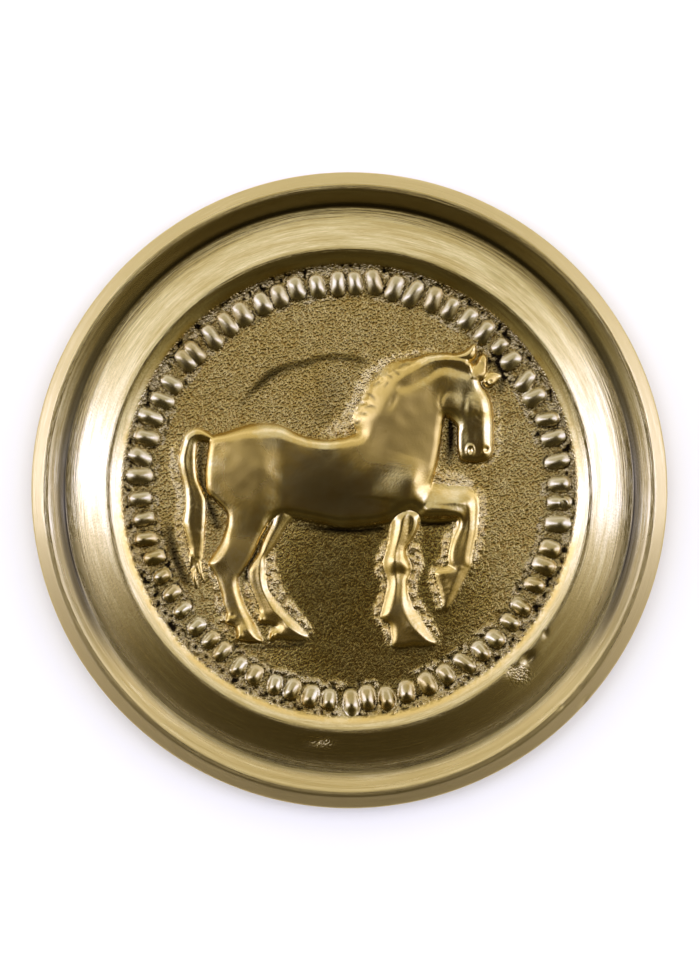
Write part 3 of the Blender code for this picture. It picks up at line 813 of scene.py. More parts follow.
deepest = dent(np.linspace(-12, 2, 60), np.full(60, 15.0))[0].min()
print("the dent is drawn up to", round(float(-deepest), 2), "mm deep")


# %% Torn sand
CRUMB = 0.43                    # mm across, two or three sand grains that stuck together


def torn_sand(x, y, rows, r):
    """Where the sand tore beside the beads, 0 to 1."""
    outer = soft_step(26.9, 27.5, r)
    inner = between_steps(23.8, 24.4, 24.9, 25.4, r)
    inner = inner * soft_step(-0.5, 0.1, unevenness(x, y, 1.6, 12))
    return np.maximum(outer, inner) * soft_step(-0.05, -0.3, rows)


def over_the_back(x, y):
    """A crumbly patch of the field behind the mane, 0 to 0.6."""
    patchy = 0.6 * soft_step(0.0, 0.6, unevenness(x, y, 3.4, 9))
    return patchy * soft_step(6.5, 8.5, y) * soft_step(0, -3, x)


RAMMED_X, RAMMED_Y = 3.0, -14.0         # where the sand was rammed hardest, by the hooves
FINEST, COARSEST = 0.1, 1.0             # grit there, and far from there
GRIT_AT_SIDES = 0.6                     # added before the chest and behind the tail
SMOOTHED = 0.75                         # share of the grit that the dent lost


def grit_of(x, y, crumbly, smooth):
    """How gritty the skin is: finest where the sand was rammed hardest."""
    away = np.hypot(x - RAMMED_X, (y - RAMMED_Y) / 1.1)
    grit = FINEST + (COARSEST - FINEST) * soft_step(8.0, 25.0, away) + 0.7 * crumbly
    sides = soft_step(13.0, 20.0, np.abs(x)) * soft_step(-8.0, 0.0, y)
    return (grit + GRIT_AT_SIDES * sides) * (1.0 - SMOOTHED * smooth)


print("grit by the hooves:", float(grit_of(RAMMED_X, RAMMED_Y, 0.0, 0.0)),
      "and at the top:", float(grit_of(0.0, 24.0, 0.0, 0.0)))


# %% The bare field
LUMPS = 0.045                   # mm: the even print of the sand
WAVES = 0.02                    # mm: the wide waves that ramming left
CRUMBS = 0.14                   # mm: crumbs of the skin where it is fully crumbly
CRUMBLY_ALL_OVER = 0.17         # how crumbly even the smoothest skin is, 0 to 1
LOOSE_CRUMBS = 0.36             # mm: bigger crumbs where the sand tore
LOOSE_BED = 0.06                # mm: how much the torn sand as a whole stands up
SLUMP = 0.0011                  # mm per square mm of distance from the slump's middle
SLUMP_X, SLUMP_Y = -2.0, -8.0


def field(x, y, r, rows, banks):
    """Height of the bare field, how far its crumbs stand up, its grit, and its deep pits."""
    torn = torn_sand(x, y, rows, r)
    crumb = unevenness(x, y, CRUMB, 3, 1)
    crumbly = CRUMBLY_ALL_OVER + 0.5 * torn + over_the_back(x, y) + 3.5 * banks
    crumbly = np.clip(crumbly, 0.0, 1.0)
    fringe = np.clip(4.0 * banks, 0.0, 1.0)
    loose = np.maximum(torn, 0.8 * fringe)
    height = LUMPS * unevenness(x, y, 0.8, 1, 2) + WAVES * unevenness(x, y, 5.0, 5)
    height = height + 0.45 * banks + 0.12 * np.sqrt(banks)
    height = height + CRUMBS * crumbly * unevenness(x, y, 0.5, 3, 2)
    height = height + loose * (LOOSE_CRUMBS * crumb + LOOSE_BED)
    hollow, smooth = dent(x, y)
    grit = grit_of(x, y, crumbly, smooth)
    height = height * np.minimum(0.4 + grit, 1.2)
    slump = SLUMP * ((x - SLUMP_X) ** 2 + (y - SLUMP_Y) ** 2) * soft_step(-12.0, 2.0, y)
    bright = np.maximum(torn, fringe) * soft_step(-0.35, 0.0, crumb)
    standing_up = np.maximum(crumbly * height, 0.25 * bright)
    pits = loose * soft_step(-0.2, -0.6, crumb)
    return height + hollow - slump, standing_up, grit, pits


print("loose crumbs stand up to", round(LOOSE_CRUMBS + LOOSE_BED, 2), "mm")


# %% [markdown]
# ## Lathe flaws
# The lip, channel and rim were turned, and the tool opened a few gas holes in the brass. They are
# small hollows here, one to four tenths of a millimetre deep, and three rough scabs lie over
# some of them. The rings also wander by less than a tenth of a millimetre, as a tool that is
# guided by hand does. Without that the mirror images in the lip would look machined.

# %% The turned part with its gas holes
# hollows: x, y, half length, half width, height (negative) and, if any, turn in degrees
GAS_HOLES = [
    (22.3, -21.2, 0.9, 0.55, -0.4, 45), (20.6, -22.4, 0.9, 0.5, -0.22, 45),
    (-4.4, -31.5, 1.5, 0.6, -0.15, 8), (18.0, 26.5, 2.2, 0.9, -0.12, -35),
    (24.6, -18.0, 0.3, 0.3, -0.2), (28.9, -24.9, 0.25, 0.25, -0.12),
    (26.5, -27.1, 0.3, 0.3, -0.12), (29.6, -26.7, 0.5, 0.3, -0.3, 45),
]
# rough scabs: x, y, half length, half width, strength
SCABS = [(21.5, -23.1, 1.1, 0.9, 1.2), (-3.2, -31.8, 1.6, 0.7, 0.8), (20.2, -22.6, 0.8, 0.4, 0.6)]
WANDER = 0.09                   # mm


def turned_part(x, y, r):
    """Height of the turned section with its wander and its gas holes."""
    wander = WANDER * unevenness(x, y, 9.0, 81) * between_steps(28.4, 29.6, 35.5, 37.2, r)
    return section(r + wander) + swellings(x, y, GAS_HOLES) * soft_step(29.0, 29.6, r)


def scabs(x, y, r):
    """How rough the scabs are, as grit on the turned part."""
    return swellings(x, y, SCABS) * soft_step(29.2, 29.8, r)


print(len(GAS_HOLES), "gas holes, the deepest", -min(hole[4] for hole in GAS_HOLES), "mm")


# %% [markdown]
# ## Satin, soot and painted shade
# The finish changes from place to place on one and the same metal. It is kept as numbers on the
# points of the mesh, for the material to read. Satin says how softly the metal mirrors. The soot
# mark is mostly painted shade: in the corner and on the floor of the channel, up the rim at both
# sides, at the foot of the beads, in the slits of the mane, in the pits of the sand skin and in
# creases round the horse. A thin brown film over the field, darker on the barrel and under the
# belly, is counted in the same mark.

# %% Skin of the horse
ROUGH_LUMPS = 0.15              # mm
FILED_DOWN = 0.3                # mm taken off the tops of the lumps
SLIT_DEPTH = 0.16               # mm at full strength
HAND_WAVES, SATIN_WAVES = 0.03, 0.06    # mm: on polished skin, and added on satin


def skin_of_horse(x, y, satin):
    """Lumps of the skin that was never filed, with the mane's slits, and the slits alone."""
    rough, slits = strongest(x, y, COARSE), strongest(x, y, SLITS)
    lumps = unevenness(x * 0.9 + y * 0.5, y * 0.8 - x * 0.5, 0.6, 31, 2)
    waves = (HAND_WAVES + SATIN_WAVES * satin) * unevenness(x, y, 2.7, 44, 2)
    cast = rough * (ROUGH_LUMPS * lumps - FILED_DOWN * soft_step(0.3, 0.5, lumps))
    return cast - SLIT_DEPTH * slits + waves, slits


line = np.linspace(0.0, 8.0, 200)
skin, _ = skin_of_horse(line, line + 8.0, np.zeros(200))
print("along the mane the skin is uneven by", round(float(skin.max() - skin.min()), 2), "mm")


# %% Satin and painted shade of the turned part
SATIN_CHANNEL, SATIN_RIM, SATIN_BEVEL = 0.25, 0.3, 0.5
DULL_BY_HOOVES = 1.0            # added on the bevel there
# painted shade on the channel floor
CHANNEL_FLOOR_SHADE = 0.35


def satin_of_turned(y, r):
    """The channel and the rim are duller than the lip, and the bevel is dullest by the hooves."""
    channel = SATIN_CHANNEL * between_steps(33.9, 34.8, 35.7, 36.0, r)
    rim = SATIN_RIM * soft_step(36.0, 36.3, r)
    bevel = SATIN_BEVEL + DULL_BY_HOOVES * soft_step(-5.0, -20.0, y)
    return channel + rim + bevel * soft_step(38.4, 38.6, r)


def shade_on_turned(x, y, r):
    """Painted shade in the corner of the channel, on its floor, and up the rim at both sides."""
    corner = (0.3 + 0.5 * soft_step(-24.0, -8.0, y)) * between_steps(35.6, 35.9, 36.1, 36.6, r)
    sides = soft_step(18.0, 34.0, np.abs(x)) * soft_step(-28.0, -14.0, y)
    thins_out = 0.85 - 0.45 * soft_step(36.5, 37.0, r)
    up_the_rim = sides * between_steps(35.7, 36.0, 37.6, 37.9, r) * thins_out
    # the painted shade on the floor is darker towards the bottom
    lower_half = 0.35 + 0.65 * soft_step(14.0, -4.0, y)
    floor = CHANNEL_FLOOR_SHADE * between_steps(34.9, 35.3, 35.8, 36.0, r) * lower_half
    return np.maximum(corner, up_the_rim) + floor


# the value printed is the painted shade in the channel's corner
print("soot in the channel's corner:", round(float(shade_on_turned(36.0, 0.0, 36.0)), 2))


# %% Painted shade and film inside the lip
FIELD_FILM = 0.35               # an even film over the whole sand skin
SHADE_IN_BEAD_RING = 0.15              # painted shade all over the ring that the beads stand in
# painted shade in the pits between loose crumbs
SHADE_IN_PITS = 0.55
# darker patches on the barrel and under the belly: x, y, half width, half height, strength
DARK_PATCH_ON_BARREL = (-1.2, -0.8, 7.0, 3.6, 0.42)
DARK_PATCH_UNDER_BELLY = (-1.0, -12.5, 8.0, 7.5, 0.12)


def shade_in_field(x, y, r, rows, standing_up, pits):
    """Painted shade round the beads, in drawn creases and pits, but not on crumbs that stand up."""
    foot = between_steps(-0.3, 0.0, 0.0, 0.12, rows)
    foot = foot * (0.15 + 0.4 * soft_step(-0.1, 0.4, unevenness(x, y, 1.3, 14)))
    soot_and_shade = foot + SHADE_IN_BEAD_RING * soft_step(24.2, 25.0, r) + SHADE_IN_PITS * pits
    soot_and_shade = soot_and_shade + strongest(x, y, SHADE_LINES)
    return np.clip(soot_and_shade - 3.0 * np.maximum(standing_up, 0.0), 0.0, 1.0)


def film(x, y, body, bare, banks):
    """The even film on the field, which the banks stick out of, and the two darker patches."""
    even = FIELD_FILM * between_steps(-0.6, -0.2, 0.0, 0.2, body)
    even = even * np.clip(1.0 - 6.0 * banks, 0.0, 1.0)
    barrel = soft_step(-0.1, 0.2, body) * swelling(x, y, *DARK_PATCH_ON_BARREL)
    return even + barrel + bare * swelling(x, y, *DARK_PATCH_UNDER_BELLY)


print("film on the open field:", round(float(film(0.0, 20.0, LEVEL, 1.0, 0.0)), 2))


# %% [markdown]
# ## The whole face
# Everything meets here. The field lies under the horse and under the beads, and each is joined to
# it with a fillet, as moulding sand can't hold a sharp inner corner. The result is five numbers a
# point: the height, and how far the metal is rubbed, satin, dark with painted shade and soot, and
# gritty.

# %% The whole face
SLIT_SHADE = 3.2                 # the mane's slits are shallow, and painted dark as shade
EXTRA_POLISH = 0.5
HORSE_FILLET, BEAD_FILLET = 0.3, 0.12   # mm


def face(x, y):
    """Height in mm; how rubbed (0 in the sand skin) and satin; painted shade and soot; grit."""
    r = np.hypot(x, y)
    body, satin, rows = horse(x, y), satin_of_horse(x, y), beads(x, y)
    inside = soft_step(28.8, 28.3, r)
    banks = strongest(x, y, BANKS)
    ground, standing_up, grit, pits = field(x, y, r, rows, banks)
    open_skin = inside * soft_step(0.2, LEVEL, body) * soft_step(0.12, 0.0, rows)
    crest = soft_step(0.04, 0.16, standing_up)
    bare = open_skin * (1.0 - 0.5 * crest)

    skin, slits = skin_of_horse(x, y, satin)
    body = body + soft_step(-0.2, 0.3, body) * skin
    under = soft_step(0.2, LEVEL, body) * ground
    with_horse = join(body, under, HORSE_FILLET)
    with_beads = join(rows, under * soft_step(0.16, 0.02, rows), BEAD_FILLET)
    relief = np.maximum(with_horse, with_beads) + ridge(x, y, SCAR)

    # painted shade round the beads, in pits and creases and in the mane's slits
    soot_and_shade = bare * shade_in_field(x, y, r, rows, standing_up, pits) + SLIT_SHADE * slits
    soot_and_shade = soot_and_shade + shade_on_turned(x, y, r) + inside * film(x, y, body, bare, banks)
    # beads and crests were rubbed brighter than anything else, so their satin goes below 0
    polished = np.maximum(soft_step(0.0, 0.2, rows), open_skin * crest)
    satin = satin * (1.0 - bare) - EXTRA_POLISH * inside * polished + satin_of_turned(y, r)
    height = turned_part(x, y, r) + inside * relief
    return height, 1.0 - bare, satin, soot_and_shade, open_skin * grit + scabs(x, y, r)


def casting(x, y):
    """The height alone."""
    return face(x, y)[0]


print("over the back: field", height_at(casting, 0, -12), "rump", height_at(casting, -13.6, 2.6),
      "and rim", height_at(casting, 0, 38.2), "mm")


# %% [markdown]
# ## Rings of points
# A turned thing wants its points in rings. Each ring gets as many points as its length needs, and
# neighbouring rings are stitched like a zip, so the faces stay even from the middle to the rim.
# A square net would be simpler, but its steps would show round the rim, and a subdivided disc has
# its points bunched in the middle. Outside the relief nothing changes fast along a ring, so the
# rings there have fewer points. The back is a plain flat face with a small rounded edge.

# %% Where the rings go
PITCH = 0.193                   # mm between points in the relief, less than half a crumb
ROUND_TURNED, ROUND_EDGE, ROUND_CORNER = 480, 512, 384      # points on each ring there
RIM_RINGS = (37.85, 37.98, 38.1, 38.25, 38.36, 38.42, 38.5, 38.65, 39.0, 39.4, 39.75, 39.93)
EDGE_HEIGHTS = (3.45, 3.0, 2.2, 1.2, 0.5)
BACK_EDGE = ((0.07, 0.25), (0.2, 0.08), (0.5, 0.0))     # in from the edge, height
BACK_RINGS = ((36.0, 192), (28.0, 96), (16.0, 48), (6.0, 16))


def rings():
    """(radius, height or None, points) from the middle of the face, over the edge, to the back."""
    made = []
    for r in np.arange(PITCH, RELIEF_R, PITCH):
        made.append((r, None, max(6, round(2 * math.pi * r / PITCH))))
    made += [(r, None, ROUND_TURNED) for r in np.linspace(RELIEF_R + 0.15, 37.7, 34)]
    made += [(r, None, ROUND_TURNED) for r in RIM_RINGS]
    made += [(DISC_R, z, ROUND_EDGE) for z in EDGE_HEIGHTS]
    made += [(DISC_R - inward, z, ROUND_CORNER) for inward, z in BACK_EDGE]
    made += [(r, 0.0, n) for r, n in BACK_RINGS]
    return made


print(len(rings()), "rings with", sum(n for _, _, n in rings()), "points")


# %% Stitching two rings
def zip_rings(inner, outer, n, m):
    """Triangles between a ring of n points that starts at index inner and one of m at outer."""
    turn_in = (np.arange(n) + 0.5) / n
    turn_out = (np.arange(m) + 0.5) / m
    across = np.searchsorted(turn_out, turn_in) % m
    back = np.searchsorted(turn_in, turn_out, side="right") % n
    a = np.arange(n)
    b = np.arange(m)
    first = np.stack([inner + a, outer + across, inner + (a + 1) % n], axis=1)
    second = np.stack([outer + b, outer + (b + 1) % m, inner + back], axis=1)
    return np.concatenate([first, second])


print("two rings of 6 and 8 points give", len(zip_rings(0, 6, 6, 8)), "triangles")


# %% The casting's mesh
BACK_MARKS = (1.0, 1.0, 0.0, 0.0)       # filed back: rubbed, satin, no painted shade, soot or grit
# the soot mark holds painted shade and the thin brown film over the field
MARK_NAMES = ("rubbed", "satin", "soot_and_shade", "grit")


def ring_of_points(r, z, n):
    """Points of one ring in mm, and their four marks."""
    angle = 2 * math.pi * np.arange(n) / n
    x, y = r * np.cos(angle), r * np.sin(angle)
    if z is None:
        height, *marks = face(x, y)
    else:
        height, marks = np.full(n, z), [np.full(n, mark) for mark in BACK_MARKS]
    return np.stack([x, y, height], axis=1), marks


def cast_mesh(name):
    """One closed mesh: the middle point, all rings, and the middle of the back."""
    height, *marks = face(np.zeros(1), np.zeros(1))
    points, marked = [np.array([[0.0, 0.0, height[0]]])], [marks]
    faces, start, count = [], 0, 1
    for r, z, n in rings():
        ring, marks = ring_of_points(r, z, n)
        begin = start + count
        if count == 1:
            a = np.arange(n)
            faces.append(np.stack([np.zeros(n, int), begin + a, begin + (a + 1) % n], axis=1))
        else:
            faces.append(zip_rings(start, begin, count, n))
        points.append(ring)
        marked.append(marks)
        start, count = begin, n
    a = np.arange(count)
    middle_of_back = np.full(count, start + count)
    faces.append(np.stack([start + a, middle_of_back, start + (a + 1) % count], axis=1))
    points.append(np.zeros((1, 3)))
    marked.append([np.full(1, mark) for mark in BACK_MARKS])

    mesh = bpy.data.meshes.new(name)
    mesh.from_pydata((np.concatenate(points) * MM).tolist(), [], np.concatenate(faces).tolist())
    mesh.shade_smooth()
    for called, values in zip(MARK_NAMES, zip(*marked)):
        layer = mesh.attributes.new(called, "FLOAT", "POINT")
        layer.data.foreach_set("value", np.concatenate(values).astype(np.float32))
    return mesh


disc_mesh = cast_mesh("phalera_casting")
print("the casting has", len(disc_mesh.polygons), "triangles")


# %% [markdown]
# ## Yellow brass
# Yellow brass is copper with about a third of zinc. One metal shows three surfaces here. Rubbed
# with whiting it mirrors the room clearly, in a pale gold. Where it is only skimmed, or brushed on
# the lathe, it mirrors softly and looks a deeper gold. The sand skin still mirrors too, but in
# thousands of small facets, and its colour is painted darker between them as shade and lighter on
# their tops. So all of it is metal, and the marks on the mesh's points steer colour and roughness.
# Painted masks would do the same, but they would have to be unwrapped and stored as pictures.

# %% Colours
def linear(hex_code):
    """An sRGB colour as the shader wants it."""
    values = [int(hex_code[i:i + 2], 16) / 255 for i in (0, 2, 4)]
    steep = [v / 12.92 if v <= 0.04045 else ((v + 0.055) / 1.055) ** 2.4 for v in values]
    return (*steep, 1.0)


POLISHED = linear("F7E7B0")     # fresh brass
HANDLED = linear("E2C472")      # satin, on the horse
BRUSHED = linear("DAC585")      # satin, on the turned part
SKIN_SHADED = linear("B4944A")     # painted shade between the grains of the sand skin
SKIN_LIT = linear("E3CB7A")    # painted highlight on top of them
SKIN_STAIN = linear("F3ECD6")   # the skin is multiplied by this in cloudy patches
SOOT_AND_SHADE = linear("1C150A")         # painted shade, and the brown film over the field
print("polished brass in linear light:", tuple(round(v, 2) for v in POLISHED[:3]))


# %% One function that adds a node
def add(tree, kind, settings=None, **inputs):
    """A node with its settings, and each input set to a value or linked from a socket."""
    node = tree.nodes.new(kind)
    for key, value in (settings or {}).items():
        setattr(node, key, value)
    for key, value in inputs.items():
        by_number = key[0] == "i" and key[1:].isdigit()
        socket = node.inputs[int(key[1:]) if by_number else key.replace("_", " ")]
        if isinstance(value, bpy.types.NodeSocket):
            tree.links.new(value, socket)
        else:
            socket.default_value = value
    return node


print("a node's input is given by its name, or by its number as i0, i1 and so on")


# %% [markdown]
# ## Patterns at their real sizes
# The brush lines run round the disc, about 0.2 mm apart and 10 mm long. The print of the sand
# grains is a quarter of a millimetre across, a little longer one way, as sand packs when it is
# rammed at a slant. Rubbing leaves scratches finer than a tenth of a millimetre. Those are drawn
# a little coarser, at 0.14 mm, so that they still show at arm's length. Wear comes in clouds of
# 5 mm on the relief, and in long streaks along the brush lines on the turned part.

# %% Brush lines, grains, scratches and wear
PER_METRE = 1000                # a scale of PER_METRE / size makes a pattern of that many mm
BRUSH_GAP = 0.22                # mm
BRUSH_LINES = 3.5               # a brush line is radius / 3.5 long, about 10 mm
STREAK_LINES = 3.0              # the same for a streak of wear
STREAK_GAPS = 0.25              # streaks lie four times as far apart as brush lines
GRAIN, SCRATCH, CLOUD = 0.25, 0.14, 5.0     # mm
SLANT = math.radians(50)
TURNED_FROM, TURNED_TO = 28.9, 29.6         # radii in mm between which the lathe's work starts


def noise(tree, where, scale, detail, roughness):
    return add(tree, "ShaderNodeTexNoise", None, Vector=where, Scale=scale, Detail=detail,
               Roughness=roughness).outputs["Fac"]


def round_the_disc(tree, outward, gaps, lines):
    """A place for streaks: it changes fast along the radius and slowly round the disc."""
    return add(tree, "ShaderNodeVectorMath", {"operation": "MULTIPLY_ADD"}, i0=outward,
               i1=(lines, lines, 0), i2=gaps).outputs[0]


def patterns(tree):
    """Brush lines, grain, scratches, wear, and 1 where the part was turned."""
    where = add(tree, "ShaderNodeTexCoord").outputs["Object"]
    flat = add(tree, "ShaderNodeVectorMath", {"operation": "MULTIPLY"}, i0=where,
               i1=(PER_METRE, PER_METRE, 0)).outputs[0]
    radius = add(tree, "ShaderNodeVectorMath", {"operation": "LENGTH"}, i0=flat).outputs["Value"]
    outward = add(tree, "ShaderNodeVectorMath", {"operation": "NORMALIZE"}, i0=flat).outputs[0]
    turned = add(tree, "ShaderNodeMapRange", {"interpolation_type": "SMOOTHSTEP"}, Value=radius,
                 From_Min=TURNED_FROM, From_Max=TURNED_TO).outputs[0]
    gap = add(tree, "ShaderNodeMath", {"operation": "DIVIDE"}, i0=radius, i1=BRUSH_GAP).outputs[0]
    gaps = add(tree, "ShaderNodeCombineXYZ", None, Z=gap).outputs[0]
    wide_gaps = add(tree, "ShaderNodeVectorMath", {"operation": "SCALE"}, i0=gaps,
                    Scale=STREAK_GAPS).outputs[0]
    brush = noise(tree, round_the_disc(tree, outward, gaps, BRUSH_LINES), 1.0, 3.0, 0.7)
    streaks = noise(tree, round_the_disc(tree, outward, wide_gaps, STREAK_LINES), 1.0, 5.0, 0.7)
    slanted = add(tree, "ShaderNodeMapping", {"vector_type": "TEXTURE"}, Vector=where,
                  Rotation=(0, 0, SLANT), Scale=(1.25, 1.0, 1.0)).outputs[0]
    grain = noise(tree, slanted, PER_METRE / GRAIN, 1.0, 0.5)
    scratches = noise(tree, where, PER_METRE / SCRATCH, 2.0, 0.6)
    clouds = noise(tree, where, PER_METRE / CLOUD, 6.0, 0.7)
    wear = add(tree, "ShaderNodeMix", {"data_type": "FLOAT"}, i0=turned, i2=clouds,
               i3=streaks).outputs[0]
    worn = add(tree, "ShaderNodeMapRange", None, Value=wear, From_Min=0.38,
               From_Max=0.62).outputs[0]
    return brush, grain, scratches, worn, turned


print("brush lines", BRUSH_GAP, "mm apart, grains of", GRAIN, "mm")


# %% [markdown]
# ## Colour, roughness and grain of the brass
# The soot mark goes over everything as the last colour: painted shade in creases, corners and
# pits, and the thin brown film on the field. It stays a metal in the shader, so the brass under
# it still mirrors. Polish gives a roughness of 0.13, full satin adds 0.2, and the sand skin lies at
# 0.19 to 0.28 with its facets drawn by the bump. The bumps are drawn deeper than the real lines
# and grains, because the noise seldom uses its whole range.

# %% Colour of the brass
def mix_colours(tree, part, first, second, blend="MIX"):
    return add(tree, "ShaderNodeMix", {"data_type": "RGBA", "blend_type": blend}, i0=part,
               i6=first, i7=second).outputs[2]


def brass_colour(tree, rubbed, satin, soot_and_shade, grain, worn, turned):
    dull = add(tree, "ShaderNodeMath", {"operation": "ADD", "use_clamp": True}, i0=worn,
               i1=satin).outputs[0]
    raised_grain = add(tree, "ShaderNodeMapRange", {"interpolation_type": "SMOOTHSTEP"},
                       Value=grain, From_Min=0.3, From_Max=0.62).outputs[0]
    # the skin is painted lighter on the grains and darker between them, as light and shade
    skin = mix_colours(tree, raised_grain, SKIN_SHADED, SKIN_LIT)
    skin = mix_colours(tree, worn, skin, SKIN_STAIN, "MULTIPLY")
    satin_metal = mix_colours(tree, turned, HANDLED, BRUSHED)
    metal = mix_colours(tree, dull, POLISHED, satin_metal)
    # painted shade and soot go over everything as the last colour
    return mix_colours(tree, soot_and_shade, mix_colours(tree, rubbed, skin, metal), SOOT_AND_SHADE)


# %% Roughness of the brass
POLISHED_ROUGHNESS = 0.13
SATIN_ADDS = 0.2
WEAR_ADDS = 0.04
FINE_SAND, COARSE_SAND = 0.19, 0.28


def brass_roughness(tree, rubbed, satin, grit, worn):
    sandy = add(tree, "ShaderNodeMapRange", None, Value=grit, From_Max=0.6, To_Min=FINE_SAND,
                To_Max=COARSE_SAND).outputs[0]
    rough = add(tree, "ShaderNodeMix", {"data_type": "FLOAT"}, i0=rubbed, i2=sandy,
                i3=POLISHED_ROUGHNESS).outputs[0]
    blur = add(tree, "ShaderNodeMath", {"operation": "ABSOLUTE"}, i0=satin).outputs[0]
    rough = add(tree, "ShaderNodeMath", {"operation": "MULTIPLY_ADD"}, i0=blur, i1=SATIN_ADDS,
                i2=rough).outputs[0]
    handled = add(tree, "ShaderNodeMath", {"operation": "MULTIPLY"}, i0=worn, i1=rubbed).outputs[0]
    return add(tree, "ShaderNodeMath", {"operation": "MULTIPLY_ADD"}, i0=handled, i1=WEAR_ADDS,
               i2=rough).outputs[0]


# %% Brush lines, scratches and grains as a bump
FINE_DEPTH, GRAIN_DEPTH = 0.00005, 0.0003       # metres
SCRATCHED = 0.1                                 # share of their depth that scratches reach


def brass_bump(tree, grit, brush, grain, scratches, turned):
    lines = add(tree, "ShaderNodeBump", None, Height=brush, Distance=FINE_DEPTH,
                Strength=turned).outputs[0]
    not_turned = add(tree, "ShaderNodeMath", {"operation": "MULTIPLY_ADD"}, i0=turned,
                     i1=-SCRATCHED, i2=SCRATCHED).outputs[0]
    lines = add(tree, "ShaderNodeBump", None, Height=scratches, Distance=FINE_DEPTH,
                Strength=not_turned, Normal=lines).outputs[0]
    gritty = add(tree, "ShaderNodeMath", {"operation": "MULTIPLY_ADD", "use_clamp": True}, i0=grit,
                 i1=0.85, i2=0.03).outputs[0]
    return add(tree, "ShaderNodeBump", None, Height=grain, Distance=GRAIN_DEPTH, Strength=gritty,
               Normal=lines).outputs[0]


# %% The brass, and the casting made of it
def cast_yellow_brass():
    mat = bpy.data.materials.new("cast_yellow_brass")
    mat.use_nodes = True
    tree = mat.node_tree
    tree.nodes.clear()
    rubbed, satin, soot_and_shade, grit = [
        add(tree, "ShaderNodeAttribute", {"attribute_name": mark}).outputs["Fac"]
        for mark in MARK_NAMES]
    brush, grain, scratches, worn, turned = patterns(tree)
    shader = add(tree, "ShaderNodeBsdfPrincipled", None, Metallic=1.0,
                 Base_Color=brass_colour(tree, rubbed, satin, soot_and_shade, grain, worn, turned),
                 Roughness=brass_roughness(tree, rubbed, satin, grit, worn),
                 Normal=brass_bump(tree, grit, brush, grain, scratches, turned))
    add(tree, "ShaderNodeOutputMaterial", None, Surface=shader.outputs[0])
    return mat


disc = bpy.data.objects.new("phalera_casting", disc_mesh)
bpy.context.scene.collection.objects.link(disc)
disc_mesh.materials.append(cast_yellow_brass())
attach(disc, "root")
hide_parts("phalera")
print("the brass has", len(disc_mesh.materials[0].node_tree.nodes), "nodes")


# %% [markdown]
# ## The room that the brass mirrors
# Bright metal has no look of its own: it shows the room. A slope of so many degrees mirrors the
# room at twice that angle from straight up, so the field and the flat of the horse show the crown
# of the ceiling, soft slopes show the ceiling and the walls, and steep ones the window band and
# the skirting. Big soft lights stand at both sides, a cream wall stands behind the horse's back,
# and the room is dark by its hooves. Lamps as objects could do it too, but a band of brightness
# round the room is easier to place: each is a list of directions and levels.

# %% The bands of the room
# degrees round the room (0 is before the horse, 90 over its back, 180 behind it) and brightness
CEILING = [
    (-180, 0.24), (-165, 0.13), (-150, 0.045), (-120, 0.022), (-80, 0.018), (-50, 0.03),
    (-25, 0.065), (-10, 0.16), (5, 0.22), (40, 0.22), (90, 0.23), (130, 0.25), (160, 0.25),
    (180, 0.24)]
WALLS = [
    (-180, 1.0), (-174, 0.75), (-167, 0.38), (-159, 0.13), (-149, 0.045), (-135, 0.02),
    (-110, 0.014), (-70, 0.014), (-55, 0.024), (-40, 0.045), (-25, 0.14), (-12, 0.32), (0, 0.8),
    (15, 0.8), (30, 0.44), (45, 0.28), (60, 0.24), (75, 0.27), (110, 0.28), (130, 0.3),
    (147, 0.3), (158, 0.43), (170, 0.85), (180, 1.0)]
WINDOW = [
    (-180, 0.95), (-168, 0.45), (-152, 0.12), (-125, 0.02), (-55, 0.02), (-32, 0.12),
    (-14, 0.45), (0, 0.85), (25, 0.55), (60, 0.42), (90, 0.41), (120, 0.42), (155, 0.55),
    (180, 0.95)]
SKIRTING = [
    (-180, 0.3), (-160, 0.16), (-140, 0.06), (-120, 0.015), (-60, 0.015), (-35, 0.04),
    (-15, 0.16), (0, 0.3), (40, 0.26), (80, 0.23), (120, 0.23), (160, 0.28), (180, 0.3)]
# each band blends in between two angles from straight up, in degrees
BANDS = ((CEILING, 6, 18), (WALLS, 16, 33), (WINDOW, 50, 58), (SKIRTING, 66, 76))
CROWN = (0.055, 0.041, 0.02, 1)         # straight up: brown shadow
LAMPS = 2.6                             # the bands are given as shares of this brightness
# a bright level is white silk, a dim one is cream wall and a very dim one is brown shadow
LEVELS = (0.02, 0.1, 0.25, 0.8)
RED, GREEN, BLUE = (1.26, 1.12, 1.02, 0.92), 0.97, (0.36, 0.53, 0.88, 1.8)
print(len(BANDS), "bands, the brightest at", LAMPS * max(level for _, level in WALLS))


# %% The room
def ring_of_light(tree, part, stops):
    """A colour ramp used as a band of brightness round the room."""
    node = add(tree, "ShaderNodeValToRGB", None, Fac=part)
    ramp = node.color_ramp
    while len(ramp.elements) < len(stops):
        ramp.elements.new(0.5)
    for element, (degrees, level) in zip(ramp.elements, stops):
        element.position = (degrees + 180) / 360
        red, blue = np.interp(level, LEVELS, RED), np.interp(level, LEVELS, BLUE)
        element.color = (level * red, level * GREEN, level * blue, 1)
    return node.outputs[0]


def between(tree, value, low, high):
    """0 below low degrees, 1 above high, soft in between."""
    return add(tree, "ShaderNodeMapRange", {"interpolation_type": "SMOOTHSTEP"}, Value=value,
               From_Min=math.radians(low), From_Max=math.radians(high)).outputs[0]


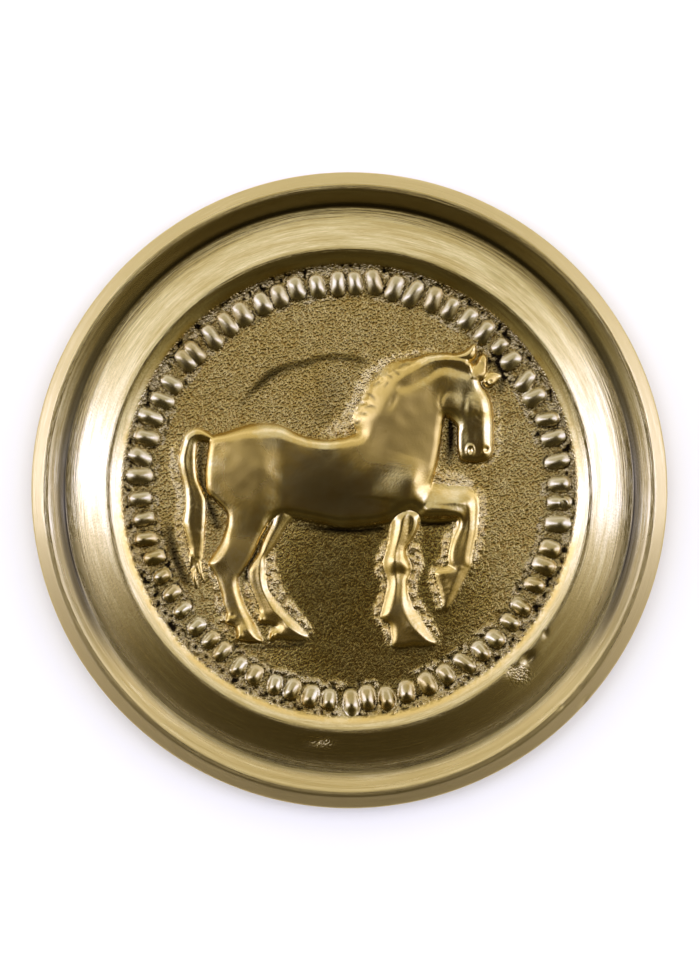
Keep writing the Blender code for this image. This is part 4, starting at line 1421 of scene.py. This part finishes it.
def room():
    world = bpy.data.worlds.new("soft_studio")
    world.use_nodes = True
    tree = world.node_tree
    tree.nodes.clear()
    way = add(tree, "ShaderNodeTexCoord").outputs["Generated"]
    axis = add(tree, "ShaderNodeSeparateXYZ", None, Vector=way)
    turn = add(tree, "ShaderNodeMath", {"operation": "ARCTAN2"}, i0=axis.outputs[1],
               i1=axis.outputs[0]).outputs[0]
    part = add(tree, "ShaderNodeMapRange", None, Value=turn, From_Min=-math.pi,
               From_Max=math.pi).outputs[0]
    from_top = add(tree, "ShaderNodeMath", {"operation": "ARCCOSINE"},
                   i0=axis.outputs[2]).outputs[0]
    light = CROWN
    for stops, low, high in BANDS:
        band = add(tree, "ShaderNodeVectorMath", {"operation": "SCALE"},
                   i0=ring_of_light(tree, part, stops), Scale=LAMPS).outputs[0]
        light = mix_colours(tree, between(tree, from_top, low, high), light, band)
    back = add(tree, "ShaderNodeBackground", None, Color=light, Strength=1.0)
    add(tree, "ShaderNodeOutputWorld", None, Surface=back.outputs[0])
    bpy.context.scene.world = world


room()
print("the world is", bpy.context.scene.world.name)


# %% [markdown]
# ## The floor and the light on it
# The disc lies on pale matt paper, a fifth of a millimetre under its back so that the two faces
# don't fight for the same place. Paper has hardly any sheen, so its mirror part is turned down.
# The room is dim where it doesn't show in the metal, so one wide lamp overhead lights the paper.
# It is left out of mirror images, or it would show as a white disc in the flat of the horse.

# %% The floor
FLOOR_HALF = 1.2                # metres
FLOOR_Z = -0.0002


def floor():
    mesh = bpy.data.meshes.new("pale_floor")
    corners = [(-1, -1), (1, -1), (1, 1), (-1, 1)]
    mesh.from_pydata([(x * FLOOR_HALF, y * FLOOR_HALF, FLOOR_Z) for x, y in corners], [],
                     [(0, 1, 2, 3)])
    made = bpy.data.objects.new("pale_floor", mesh)
    bpy.context.scene.collection.objects.link(made)
    mat = bpy.data.materials.new("pale_paper")
    mat.use_nodes = True
    shader = mat.node_tree.nodes["Principled BSDF"]
    shader.inputs["Base Color"].default_value = linear("F9F8F2")
    shader.inputs["Roughness"].default_value = 0.9
    shader.inputs["Specular IOR Level"].default_value = 0.1
    mesh.materials.append(mat)


floor()
print("the floor is", 2 * FLOOR_HALF, "m wide")


# %% The lamp over the paper
def fill_light():
    data = bpy.data.lights.new("paper_light", "AREA")
    data.shape = "DISK"
    data.size = 1.4
    data.energy = 9.0
    made = bpy.data.objects.new("paper_light", data)
    made.location = (0.0, 0.0, 1.2)
    made.visible_glossy = False
    bpy.context.scene.collection.objects.link(made)
    return made


lamp = fill_light()
print("the lamp gives", lamp.data.energy, "W")


# %% [markdown]
# ## The camera
# A long lens straight above the middle keeps the rim round and shows no side of the disc. The
# colours go out as they are, without a film curve, so that the gold isn't bleached.

# %% The camera
def camera():
    data = bpy.data.cameras.new("camera")
    data.lens = 100
    data.clip_start = 0.01
    made = bpy.data.objects.new("camera", data)
    made.location = (0.00008, 0.00003, 0.3458)
    bpy.context.scene.collection.objects.link(made)
    bpy.context.scene.camera = made


camera()
bpy.context.scene.view_settings.view_transform = "Standard"
print("the lens is", bpy.context.scene.camera.data.lens, "mm")
